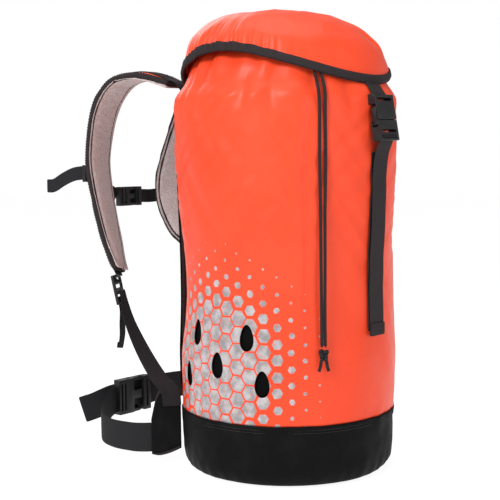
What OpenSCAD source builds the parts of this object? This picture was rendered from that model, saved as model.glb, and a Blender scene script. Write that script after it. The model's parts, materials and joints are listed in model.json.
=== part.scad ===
/* [Bag] */
// Radius of the bag where the front strap's buckle lies
bag_r = 145; // [141:1:147]
// Height of the black base cup
base_h = 78; // [70:1:84]
// Thickness of the coated bag fabric in its solids
fabric_t = 2; // [1.6:0.2:2.4]
// Thickness of the floor of the base cup
floor_t = 3; // [2.5:0.5:4]
// Width of one drain hole
drain_w = 16; // [12:1:18]
// Height of one drain hole
drain_h = 29; // [22:1:30]

/* [Lid] */
// Height of the top of the lid above the ground
lid_top = 596; // [595:1:599]
// Lowest height of the lid's edge, at the front and the back
lid_edge_z = 498; // [496:1:500]
// How far the edge arches up at the sides
lid_arch = 40; // [30:1:44]
// Height of the binding on the lid's edge
binding_h = 10; // [8:1:12]

/* [Front closure] */
// Width of the front strap
front_web = 30; // [25:1:32]
// Height of the hemmed end of the front strap's tail
tail_z = 184; // [180:1:200]

/* [Shoulder straps] */
// Width of a shoulder pad
pad_w = 64; // [56:1:66]
// Thickness of the foam in a shoulder pad
foam_t = 7; // [6:0.5:7]
// Width of the webbing on a pad
pad_web_w = 25; // [20:1:25]

/* [Belts] */
// Width of the waist belt
waist_web = 40; // [36:1:40]
// Width of the sternum strap
chest_web = 20; // [18:1:20]

/* [Drawcord] */
// Diameter of the drawcord
cord_d = 4; // [3.6:0.1:4]
// Half the distance between the two hanging strands
cord_gap = 4; // [3.6:0.1:5]

/* [Hidden] */
$fn = 96;

// Bag wall: height against radius, from the ground to the gathered mouth
WALL = [
    [0, 122], [3, 129], [9, 133], [24, bag_r - 6], [80, bag_r - 5], [125, bag_r - 4],
    [157, bag_r - 4], [192, bag_r - 7], [235, bag_r - 8], [300, bag_r - 6], [363, bag_r - 2],
    [427, bag_r], [475, bag_r - 2], [488, bag_r - 6], [500, bag_r - 14], [510, bag_r - 18],
    [522, bag_r - 23], [538, bag_r - 35], [550, bag_r - 60], [554.4, bag_r - 76.6]
];
collar_end = 554.4;
mouth_r = 62;

// Lid: height against radius of its outer surface, from the edge to the top
LID = [
    [490, 138], [510, 137], [524, 133], [549, 124], [564, 112], [578, 95], [587, 70], [594, 38]
];
lid_t = 1.6;
hinge = [0, 118, 558];
lid_gap = 0.3;

// Drawcord route: distance from the bag's axis and height, from the cord lock to the knot
cord_azimuth = -34;
CORD = [
    [91, 561], [99, 557.5], [107, 550], [115, 541], [122.5, 531], [129, 518], [134, 507.5],
    [140, 499], [145.5, 490], [148.5, 478], [149, 460], [149, 400], [149, 340], [149, 280],
    [149, 220], [149, 177]
];
knot_z = 169;
lock_r = 80;
lock_z = 555;

// Shoulder pad centre lines, from the top to the lower end
PAD_LEFT = [
    [-46, 152, 506], [-50, 200, 521], [-56, 242, 519], [-60, 268, 500], [-64, 283, 470],
    [-67, 290, 435], [-70, 291, 405], [-73, 284, 375], [-76, 272, 338], [-78, 258, 300],
    [-80, 243, 266], [-80, 232, 246]
];
PAD_RIGHT = [
    [46, 152, 505], [50, 185, 509], [55, 215, 492], [60, 238, 458], [64, 258, 420],
    [67, 272, 388], [70, 277, 358], [73, 272, 330], [76, 256, 302], [78, 237, 282], [80, 226, 262]
];
ROOT_LEFT = [[-45, 136, 490], [-45, 143, 497.5]];
ROOT_RIGHT = [[45, 136, 490], [45, 143, 497.5]];
LOWER_LEFT = [
    [-78.6, 229.5, 204], [-85, 213, 180], [-93, 186, 152], [-102, 156, 128], [-110, 128, 110]
];
LOWER_RIGHT = [
    [78.6, 223.5, 220], [85, 208, 190], [93, 182, 156], [102, 153, 128], [110, 128, 110]
];
TAB_LEFT = [[-80.6, 233, 196], [-84, 230, 178], [-88, 226, 160], [-92, 226, 142]];
TAB_RIGHT = [[80.6, 227, 212], [84, 223, 192], [88, 218, 172], [92, 219, 152]];
lock_left = [-85.1, 240.8, 242.6];
lock_right = [85.1, 234.8, 258.6];
ladder_tilt = -101.5;
// Turn of a shoulder pad's width about the vertical at its lower end, and at the chest strap
pad_turn = 30;
slider_turn = 18;
ladder_w = 34;
ladder_l = 42;

// Belts and the straps on the chest
waist_y = 297;
waist_z = 52;
waist_mouth_x = -5;
WAIST_LEFT = [
    [-128, 135, 35], [-133, 165, 33], [-129, 205, 31], [-114, 243, 31], [-84, 274, 36],
    [-56, 290, 45], [-40.5, 295.8, 49.4]
];
WAIST_RIGHT = [
    [31, 297, 52], [60, 290, 56], [92, 266, 58], [116, 228, 56], [128, 180, 48], [128, 138, 38.5]
];
WAIST_TAIL = [[-30, 306, 51], [-42, 312, 47], [-56, 321, 41], [-72, 333, 35]];
chest_y = 294;
chest_z = 352;
chest_mouth_x = -8;
CHEST_LEFT = [[-56, 307.8, 384], [-51, 307.8, 377], [-43, 305.3, 365], [-34, 298.4, 356.3]];
CHEST_RIGHT = [[18, 294, 352], [29, 297, 351.5], [42, 298.5, 351], [57, 295, 352]];
CHEST_TAIL = [[-79, 304.5, 388], [-79, 330, 386], [-77, 358, 378], [-76, 380, 369], [-75, 398, 368]];

// Side-release buckles: width, socket length, plug length, thickness, webbing width
FRONT_BUCKLE = [40, 32, 26, 12, front_web];
WAIST_BUCKLE = [52, 34, 30, 13, waist_web];
CHEST_BUCKLE = [28, 24, 20, 9, chest_web];
buckle_wall = 1.8;
pin_r = 1.2;
pin_play = 0.05;
knuckle_r = 2.6;
front_mouth = [0, -155, 452];
front_lean = 80;
web_t = 1.5;
layer_gap = 0.8;

function wall_r(z) = lookup(z, WALL);
function unit(v) = v / norm(v);
function blend(a, b, f) = a + (b - a) * f;
function spline(a, b, c, d, f) =
    0.5 * (2 * b + (c - a) * f + (2 * a - 5 * b + 4 * c - d) * f * f
    + (3 * b - a - 3 * c + d) * f * f * f);
function smooth(points, steps) = let (last = len(points) - 1) concat(
    [for (i = [0 : last - 1]) for (k = [0 : steps - 1])
        spline(points[max(i - 1, 0)], points[i], points[i + 1], points[min(i + 2, last)], k / steps)],
    [points[last]]
);
function tangent(path, i) = unit(path[min(i + 1, len(path) - 1)] - path[max(i - 1, 0)]);
function across(v, t) = unit(v - (v * t) * t);
function pad_side(route) = [cos(pad_turn), -sign(route[0][0]) * sin(pad_turn), 0];
function pad_sides(route) = [[1, 0, 0], pad_side(route)];
function web_sides(root, route) =
    let (f = len(root) / (len(root) + len(route) - 1), last = pad_side(route))
    [([1, 0, 0] - f * last) / (1 - f), last];
function around(r, azimuth, z) = [r * sin(azimuth), -r * cos(azimuth), z];

// Share of the full width at fraction f of a strap whose two ends narrow to ends[0] and ends[1]
function taper(f, ends) =
    min(1, ends[0] + (1 - ends[0]) * f / 0.14, ends[1] + (1 - ends[1]) * (1 - f) / 0.14);

// Strap swept along a path. The sides are the width's direction at its two ends, low and high its
// two faces, and edge moves it to one edge of a strap of width w
module strap(path, sides, w, low, high, ends = [1, 1], edge = 0, strip = 0) {
    last = len(path) - 1;
    corners = [for (i = [0 : last])
        let (f = i / last, t = tangent(path, i), s = across(blend(sides[0], sides[1], f), t),
            n = cross(t, s), half = w * taper(f, ends) / 2,
            a = edge == 0 ? half : edge * half, b = edge == 0 ? -half : edge * (half + strip))
        each [path[i] + max(a, b) * s + low * n, path[i] + max(a, b) * s + high * n,
            path[i] + min(a, b) * s + high * n, path[i] + min(a, b) * s + low * n]];
    sides_faces = [for (i = [0 : last - 1]) for (k = [0 : 3])
        let (a = 4 * i + k, b = 4 * i + (k + 1) % 4)
        each [[a, b, b + 4], [a, b + 4, a + 4]]];
    end_faces = [[0, 2, 1], [0, 3, 2], [4 * last, 4 * last + 1, 4 * last + 2],
        [4 * last, 4 * last + 2, 4 * last + 3]];
    polyhedron(corners, concat(sides_faces, end_faces), convexity = 8);
}

// Round cord swept along a path that lies in a plane, whose normal is given
module cord(path, d, normal, sides = 10) {
    last = len(path) - 1;
    rings = [for (i = [0 : last])
        let (t = tangent(path, i), s = across(normal, t), n = cross(t, s))
        for (k = [0 : sides - 1])
            path[i] + d / 2 * (cos(360 * k / sides) * s + sin(360 * k / sides) * n)];
    faces = [for (i = [0 : last - 1]) for (k = [0 : sides - 1])
        let (a = sides * i + k, b = sides * i + (k + 1) % sides)
        each [[a, b + sides, b], [a, a + sides, b + sides]]];
    first_cap = [for (k = [1 : sides - 2]) [0, k, k + 1]];
    last_cap = [for (k = [1 : sides - 2]) [sides * last, sides * last + k + 1, sides * last + k]];
    polyhedron(rings, concat(faces, first_cap, last_cap), convexity = 8);
}

// Ring of the bag's wall between two heights, from depth near to depth far inside its surface
module wall_band(low, high, near, far) {
    inside = [for (w = WALL) if (w[0] > low && w[0] < high) w[0]];
    heights = concat([low], inside, [high]);
    last = len(heights) - 1;
    rotate_extrude()
        polygon(concat(
            [for (z = heights) [wall_r(z) - near, z]],
            [for (i = [last : -1 : 0]) [wall_r(heights[i]) - far, heights[i]]]
        ));
}

// Egg-shaped drain hole, cut through the wall on one side of the bag
module drain_cut(side, azimuth, z) {
    rotate([0, 0, side * (90 + azimuth)])
        translate([0, -100, z])
            rotate([90, 0, 0])
                linear_extrude(60) {
                    circle(d = drain_w, $fn = 40);
                    polygon([[-drain_w * 0.47, 3], [drain_w * 0.47, 3], [0, drain_h - drain_w / 2]]);
                    translate([0, drain_h / 3])
                        circle(d = drain_w * 0.62, $fn = 40);
                }
}

module drain_cuts(side) {
    for (hole = [[-17.5, 182], [17.5, 182], [0, 145], [-26, 126], [26, 126]])
        drain_cut(side, hole[0], hole[1]);
}

module bag_tube() {
    color("orangered")
        difference() {
            wall_band(base_h, collar_end, 0, fabric_t);
            drain_cuts(-1);
            drain_cuts(1);
        }
}

module base_cup() {
    low = [for (w = WALL) if (w[0] < base_h) w];
    color([0.12, 0.11, 0.12])
        rotate_extrude()
            polygon(concat(
                [[0, 0]],
                [for (w = low) [w[1], w[0]]],
                [[wall_r(base_h), base_h], [wall_r(base_h) - fabric_t, base_h],
                    [wall_r(24) - fabric_t, 24], [wall_r(9) - fabric_t, 9], [120, floor_t], [0, floor_t]]
            ));
}

module base_pad() {
    color("dimgray")
        translate([0, 0, floor_t])
            cylinder(r = 118, h = 4);
}

module drain_mesh() {
    color([0.06, 0.06, 0.06])
        wall_band(base_h + 30, 222, fabric_t + 0.2, fabric_t + 1);
}

module mouth_hem() {
    color("orangered")
        rotate_extrude()
            translate([mouth_r, collar_end + 2])
                difference() {
                    circle(r = 4, $fn = 32);
                    circle(r = cord_d / 2 + 0.3, $fn = 32);
                }
}

module drawcord_loop() {
    color([0.1, 0.1, 0.1]) {
        rotate_extrude()
            translate([mouth_r, collar_end + 2])
                circle(d = cord_d, $fn = 32);
        for (side = [-1, 1])
            rotate([0, 0, cord_azimuth])
                translate([side * cord_gap, -mouth_r - 4.6, collar_end + 4.4])
                    rotate([90, 0, 0])
                        cylinder(d = cord_d, h = 5, $fn = 24);
    }
}

module drawcord_strand(side) {
    sideways = [cos(cord_azimuth), sin(cord_azimuth), 0];
    route = [for (p = CORD) around(p[0], cord_azimuth, p[1]) + side * cord_gap * sideways];
    color([0.1, 0.1, 0.1])
        cord(smooth(route, 4), cord_d, sideways);
}

module drawcord_knot() {
    color([0.1, 0.1, 0.1])
        translate(around(150, cord_azimuth, knot_z)) {
            sphere(r = 7.5, $fn = 48);
            for (side = [-1, 1])
                rotate([0, side * 14, cord_azimuth])
                    translate([0, 0, -22])
                        cylinder(d = cord_d, h = 18, $fn = 24);
        }
}

module at_cord_lock() {
    translate(around(lock_r, cord_azimuth, lock_z))
        children();
}

module cord_lock() {
    color([0.15, 0.15, 0.15])
        at_cord_lock()
            difference() {
                cylinder(r = 8, h = 12, $fn = 64);
                translate([0, 0, 2])
                    cylinder(r = 5.05, h = 12, $fn = 64);
            }
}

module cord_lock_button() {
    color([0.2, 0.2, 0.2])
        at_cord_lock()
            translate([0, 0, 8])
                cylinder(r = 5, h = 8, $fn = 64);
}

module cord_lock_spring() {
    color("silver")
        at_cord_lock()
            translate([0, 0, 2])
                difference() {
                    cylinder(r = 4.2, h = 2.4, $fn = 48);
                    translate([0, 0, -1])
                        cylinder(r = 3.4, h = 5, $fn = 48);
                }
}

// Lid between two depths under its outer surface, as a full dome
module lid_dome(near, far) {
    last = len(LID) - 1;
    rotate_extrude()
        polygon(concat(
            [for (p = LID) [p[1] - near, p[0] - near / 2]],
            [[0, lid_top - near], [0, lid_top - far]],
            [for (i = [last : -1 : 0]) [LID[i][1] - far, LID[i][0] - far / 2]]
        ));
}

// Space between the lid's arched edge, raised by lift, and a height far above the lid
module above_edge(lift) {
    rotate([90, 0, 0])
        linear_extrude(400, center = true)
            polygon(concat(
                [for (x = [-150 : 10 : 150]) [x, lid_edge_z + lift + lid_arch * pow(x / 138, 2)]],
                [[150, 700], [-150, 700]]
            ));
}

// Keeps the part of the lid in front of its fold line, or the part behind it
module fold_part(front) {
    intersection() {
        children();
        translate(hinge)
            rotate([45, 0, 0])
                translate([-300, -300, front ? lid_gap : -600 - lid_gap])
                    cube(600);
    }
}

module lid_skin() {
    intersection() {
        lid_dome(0, lid_t);
        above_edge(0);
    }
}

module lid_edge_band() {
    intersection() {
        lid_dome(-1.6, -0.1);
        difference() {
            above_edge(0);
            above_edge(binding_h);
        }
    }
}

module lid_shell() {
    color("orangered")
        fold_part(true)
            lid_skin();
}

module lid_back() {
    color("orangered")
        fold_part(false)
            lid_skin();
}

module lid_binding() {
    color([0.12, 0.11, 0.12])
        fold_part(true)
            lid_edge_band();
}

module lid_back_binding() {
    color([0.12, 0.11, 0.12])
        fold_part(false)
            lid_edge_band();
}

module lid_web() {
    color([0.2, 0.18, 0.18])
        strap(smooth([[0, -141.6, 516], [0, -143.6, 506], [0, -146.6, 496], [0, -149.2, 487]], 3),
            [[1, 0, 0], [1, 0, 0]], front_web, -web_t / 2, web_t / 2);
}

// Socket half of a side-release buckle: mouth at y = 0, webbing bar at the far end. The inner plate
// is left off so that the prongs can leave on that side
module buckle_socket(b) {
    w = b[0];
    l = b[1];
    t = b[3];
    difference() {
        translate([-w / 2, 0, -t / 2])
            cube([w, l, t]);
        translate([-w / 2 - 1, -1, -t / 2 - 1])
            cube([w + 2, l * 0.6 + 1, t + 1 - buckle_wall]);
        translate([-b[4] / 2 - 0.5, l - 9, -t])
            cube([b[4] + 1, 4, 2 * t]);
        translate([-w / 2 - 1, l - 3, t / 2 - 2])
            rotate([-45, 0, 0])
                cube([w + 2, 10, 10]);
    }
}

// Plug half: ladder bars at the near end, a middle tongue, and forks that hold the two arms
module buckle_plug(b) {
    w = b[0];
    l = b[2];
    t = b[3];
    arm_t = t - 2 * buckle_wall - 1;
    difference() {
        union() {
            translate([-w / 2, -l, -t / 2])
                cube([w, l - 1, t]);
            translate([-w / 8, -3, -arm_t / 2])
                cube([w / 4, 3 + b[1] * 0.5, arm_t]);
        }
        for (y = [3, 10])
            translate([-b[4] / 2 - 0.5, y - l, -t])
                cube([b[4] + 1, 3.5, 2 * t]);
        for (side = [-1, 1])
            translate([side * (w / 2 - 4) - 5, -9, -arm_t / 2 - 0.4])
                cube([10, 10, arm_t + 0.8]);
    }
    for (side = [-1, 1])
        translate([side * (w / 2 - 4), -5, -t / 2])
            cylinder(r = pin_r, h = t, $fn = 32);
}

// Spring arm of a plug, on its pin
module buckle_arm(b, side) {
    w = b[0];
    t = b[3] - 2 * buckle_wall - 1;
    tip = b[1] * 0.52;
    pin_x = w / 2 - 4;
    mirror([side < 0 ? 1 : 0, 0, 0])
        difference() {
            union() {
                translate([pin_x, -5, -t / 2])
                    cylinder(r = knuckle_r, h = t, $fn = 48);
                translate([0, 0, -t / 2])
                    linear_extrude(t)
                        polygon([[pin_x - 1.6, -4], [pin_x - 1, 0], [w / 2 - 4, tip - 3],
                            [w / 2 - 4, tip], [w / 2 - 2.4, tip], [w / 2, tip - 6], [w / 2, 1],
                            [pin_x + 2.2, -4]]);
            }
            translate([pin_x, -5, -t])
                cylinder(r = pin_r + pin_play, h = 2 * t, $fn = 32);
        }
}

module at_front_buckle() {
    translate(front_mouth)
        rotate([front_lean, 0, 0])
            children();
}

module at_waist_buckle() {
    translate([waist_mouth_x, waist_y, waist_z])
        rotate([-90, -90, 0])
            children();
}

module at_chest_buckle() {
    translate([chest_mouth_x, chest_y, chest_z])
        rotate([-90, -90, 0])
            children();
}

module lid_socket() {
    color([0.2, 0.2, 0.21])
        at_front_buckle()
            buckle_socket(FRONT_BUCKLE);
}

module lid_plug() {
    color([0.2, 0.2, 0.21])
        at_front_buckle()
            buckle_plug(FRONT_BUCKLE);
}

module lid_arm_left() {
    color([0.22, 0.22, 0.23])
        at_front_buckle()
            buckle_arm(FRONT_BUCKLE, -1);
}

module lid_arm_right() {
    color([0.22, 0.22, 0.23])
        at_front_buckle()
            buckle_arm(FRONT_BUCKLE, 1);
}

module front_strap() {
    color([0.2, 0.18, 0.18])
        strap([for (z = [190 : 15 : 415]) [0, -wall_r(z) - 1.1, z]],
            [[1, 0, 0], [1, 0, 0]], front_web, -web_t / 2, web_t / 2);
}

module front_tail() {
    hanging = [for (z = [tail_z : 14 : 400]) [0, -wall_r(z) - 4.2, z]];
    color([0.2, 0.18, 0.18]) {
        strap(concat(hanging, [[0, -150.5, 410], [0, -153.5, 420], [0, -156, 425]]),
            [[1, 0, 0], [1, 0, 0]], front_web, -web_t / 2, web_t / 2);
        strap([for (z = [tail_z : 6 : tail_z + 12]) [0, -wall_r(z) - 5.8, z]],
            [[1, 0, 0], [1, 0, 0]], front_web, -web_t / 2, web_t / 2);
    }
}

module strap_wrap() {
    color([0.2, 0.18, 0.18])
        at_front_buckle()
            translate([0, -FRONT_BUCKLE[2] + 4.7, 0])
                cube([front_web, 1.4, FRONT_BUCKLE[3] + 3], center = true);
}

module back_pad() {
    color([0.13, 0.12, 0.13])
        intersection() {
            wall_band(base_h + 4, 470, -8, -0.3);
            translate([-78, 60, 0])
                cube([156, 120, 480]);
        }
}

module haul_loop() {
    color([0.15, 0.15, 0.15])
        strap(smooth([[0, 144, 474], [0, 158, 473], [0, 168, 482], [0, 160, 492], [0, 141.5, 492]], 4),
            [[1, 0, 0], [1, 0, 0]], 20, -web_t / 2, web_t / 2);
}

// One layer of a shoulder pad
module pad_layer(route, low, high) {
    strap(smooth(route, 3), pad_sides(route), pad_w, low, high, [0.55, 0.6]);
}

module pad_cover(route) {
    color("orangered")
        pad_layer(route, -foam_t / 2 - 1.8, -foam_t / 2 - layer_gap);
}

module pad_foam(route) {
    color([0.25, 0.25, 0.25])
        pad_layer(route, -foam_t / 2, foam_t / 2);
}

module pad_lining(route) {
    color([0.65, 0.6, 0.6])
        pad_layer(route, foam_t / 2 + layer_gap, foam_t / 2 + 1.8);
}

module pad_binding(route) {
    color([0.14, 0.13, 0.13])
        for (edge = [-1, 1])
            strap(smooth(route, 3), pad_sides(route), pad_w + 2 * layer_gap,
                -foam_t / 2 - 1.8, foam_t / 2 + 1.8, [0.55, 0.6], edge, 3);
}

module pad_web(root, route) {
    color([0.15, 0.15, 0.15])
        strap(smooth(concat(root, route), 3), web_sides(root, route), pad_web_w,
            -foam_t / 2 - 3.8, -foam_t / 2 - 2.3);
}

// Ladder lock: a frame with three cross bars
module ladder_lock(place) {
    color([0.2, 0.2, 0.21])
        translate(place)
            rotate([ladder_tilt, 0, -sign(place[0]) * pad_turn])
                difference() {
                    translate([-ladder_w / 2, -2, -2])
                        cube([ladder_w, ladder_l, 4]);
                    for (y = [3, 12, 26])
                        translate([-ladder_w / 2 + 3.5, y, -5])
                            cube([ladder_w - 7, 5 + (y > 20 ? 5 : 0), 10]);
                }
}

module lower_web(route, tab) {
    color([0.15, 0.15, 0.15]) {
        strap(smooth(route, 4), [pad_side(route), [0.72, 0.69 * sign(route[0][0]), 0]], pad_web_w,
            -web_t / 2, web_t / 2);
        strap(smooth(tab, 3), [pad_side(route), pad_side(route)], pad_web_w, -web_t / 2, web_t / 2);
    }
}

// Hip wing: an upright panel that stands out from the bag
module wing(side) {
    color([0.1, 0.1, 0.1])
        translate([side * 98.5, 103.2, 0])
            rotate([90, 0, side > 0 ? 46.6 : 133.4])
                linear_extrude(3, center = true)
                    polygon([[0, 22], [0, 98], [16, 102], [30, 96], [40, 58], [40, 14], [30, 12]]);
}

module waist_strap(route) {
    color([0.14, 0.14, 0.15])
        strap(smooth(route, 4), [[0, 0, 1], [0, 0, 1]], waist_web, -web_t / 2, web_t / 2);
}

module waist_tail() {
    color([0.14, 0.14, 0.15])
        strap(smooth(WAIST_TAIL, 3), [[0, 0, 1], [0.1, 0.1, 1]], waist_web, -web_t / 2, web_t / 2);
}

module chest_strap(route) {
    color([0.15, 0.15, 0.15])
        strap(smooth(route, 4), [[0, 0, 1], [0, 0, 1]], chest_web, -web_t / 2, web_t / 2);
}

module chest_slider(place) {
    color([0.2, 0.2, 0.21])
        translate(place)
            rotate([0, 0, -sign(place[0]) * slider_turn])
                difference() {
                    cube([26, 5, 24], center = true);
                    cube([4, 10, 20.5], center = true);
                }
}

module waist_socket() {
    color([0.2, 0.2, 0.21])
        at_waist_buckle()
            buckle_socket(WAIST_BUCKLE);
}

module waist_plug() {
    color([0.2, 0.2, 0.21])
        at_waist_buckle()
            buckle_plug(WAIST_BUCKLE);
}

module waist_arm(side) {
    color([0.2, 0.2, 0.21])
        at_waist_buckle()
            buckle_arm(WAIST_BUCKLE, side);
}

module sternum_socket() {
    color([0.2, 0.2, 0.21])
        at_chest_buckle()
            buckle_socket(CHEST_BUCKLE);
}

module sternum_plug() {
    color([0.2, 0.2, 0.21])
        at_chest_buckle()
            buckle_plug(CHEST_BUCKLE);
}

module sternum_arm(side) {
    color([0.2, 0.2, 0.21])
        at_chest_buckle()
            buckle_arm(CHEST_BUCKLE, side);
}

bag_tube();
base_cup();
base_pad();
drain_mesh();
mouth_hem();
drawcord_loop();
drawcord_strand(-1);  // drawcord_left
drawcord_strand(1);  // drawcord_right
drawcord_knot();
cord_lock();
cord_lock_button();
cord_lock_spring();
lid_shell();
lid_back();
lid_binding();
lid_back_binding();
lid_web();
lid_socket();
front_strap();
front_tail();
strap_wrap();
lid_plug();
lid_arm_left();
lid_arm_right();
back_pad();
haul_loop();
pad_cover(PAD_LEFT);  // pad_cover_left
pad_foam(PAD_LEFT);  // pad_foam_left
pad_lining(PAD_LEFT);  // pad_lining_left
pad_binding(PAD_LEFT);  // pad_binding_left
pad_web(ROOT_LEFT, PAD_LEFT);  // pad_web_left
pad_cover(PAD_RIGHT);  // pad_cover_right
pad_foam(PAD_RIGHT);  // pad_foam_right
pad_lining(PAD_RIGHT);  // pad_lining_right
pad_binding(PAD_RIGHT);  // pad_binding_right
pad_web(ROOT_RIGHT, PAD_RIGHT);  // pad_web_right
ladder_lock(lock_left);  // ladder_lock_left
ladder_lock(lock_right);  // ladder_lock_right
lower_web(LOWER_LEFT, TAB_LEFT);  // lower_web_left
lower_web(LOWER_RIGHT, TAB_RIGHT);  // lower_web_right
wing(-1);  // wing_left
wing(1);  // wing_right
waist_strap(WAIST_LEFT);  // waist_web_left
waist_strap(WAIST_RIGHT);  // waist_web_right
waist_socket();
waist_plug();
waist_arm(1);  // waist_arm_upper
waist_arm(-1);  // waist_arm_lower
waist_tail();
chest_slider([-79.8, 299.4, 387]);  // sternum_slider_left
chest_slider([74.7, 289, 352]);  // sternum_slider_right
chest_strap(CHEST_LEFT);  // sternum_web_left
chest_strap(CHEST_RIGHT);  // sternum_web_right
sternum_socket();
sternum_plug();
sternum_arm(1);  // sternum_arm_upper
sternum_arm(-1);  // sternum_arm_lower
chest_strap(CHEST_TAIL);  // sternum_tail
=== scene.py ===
"""Rope storage bag: coated fabric tube, flap lid, webbing, buckles and a padded harness."""

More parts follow.
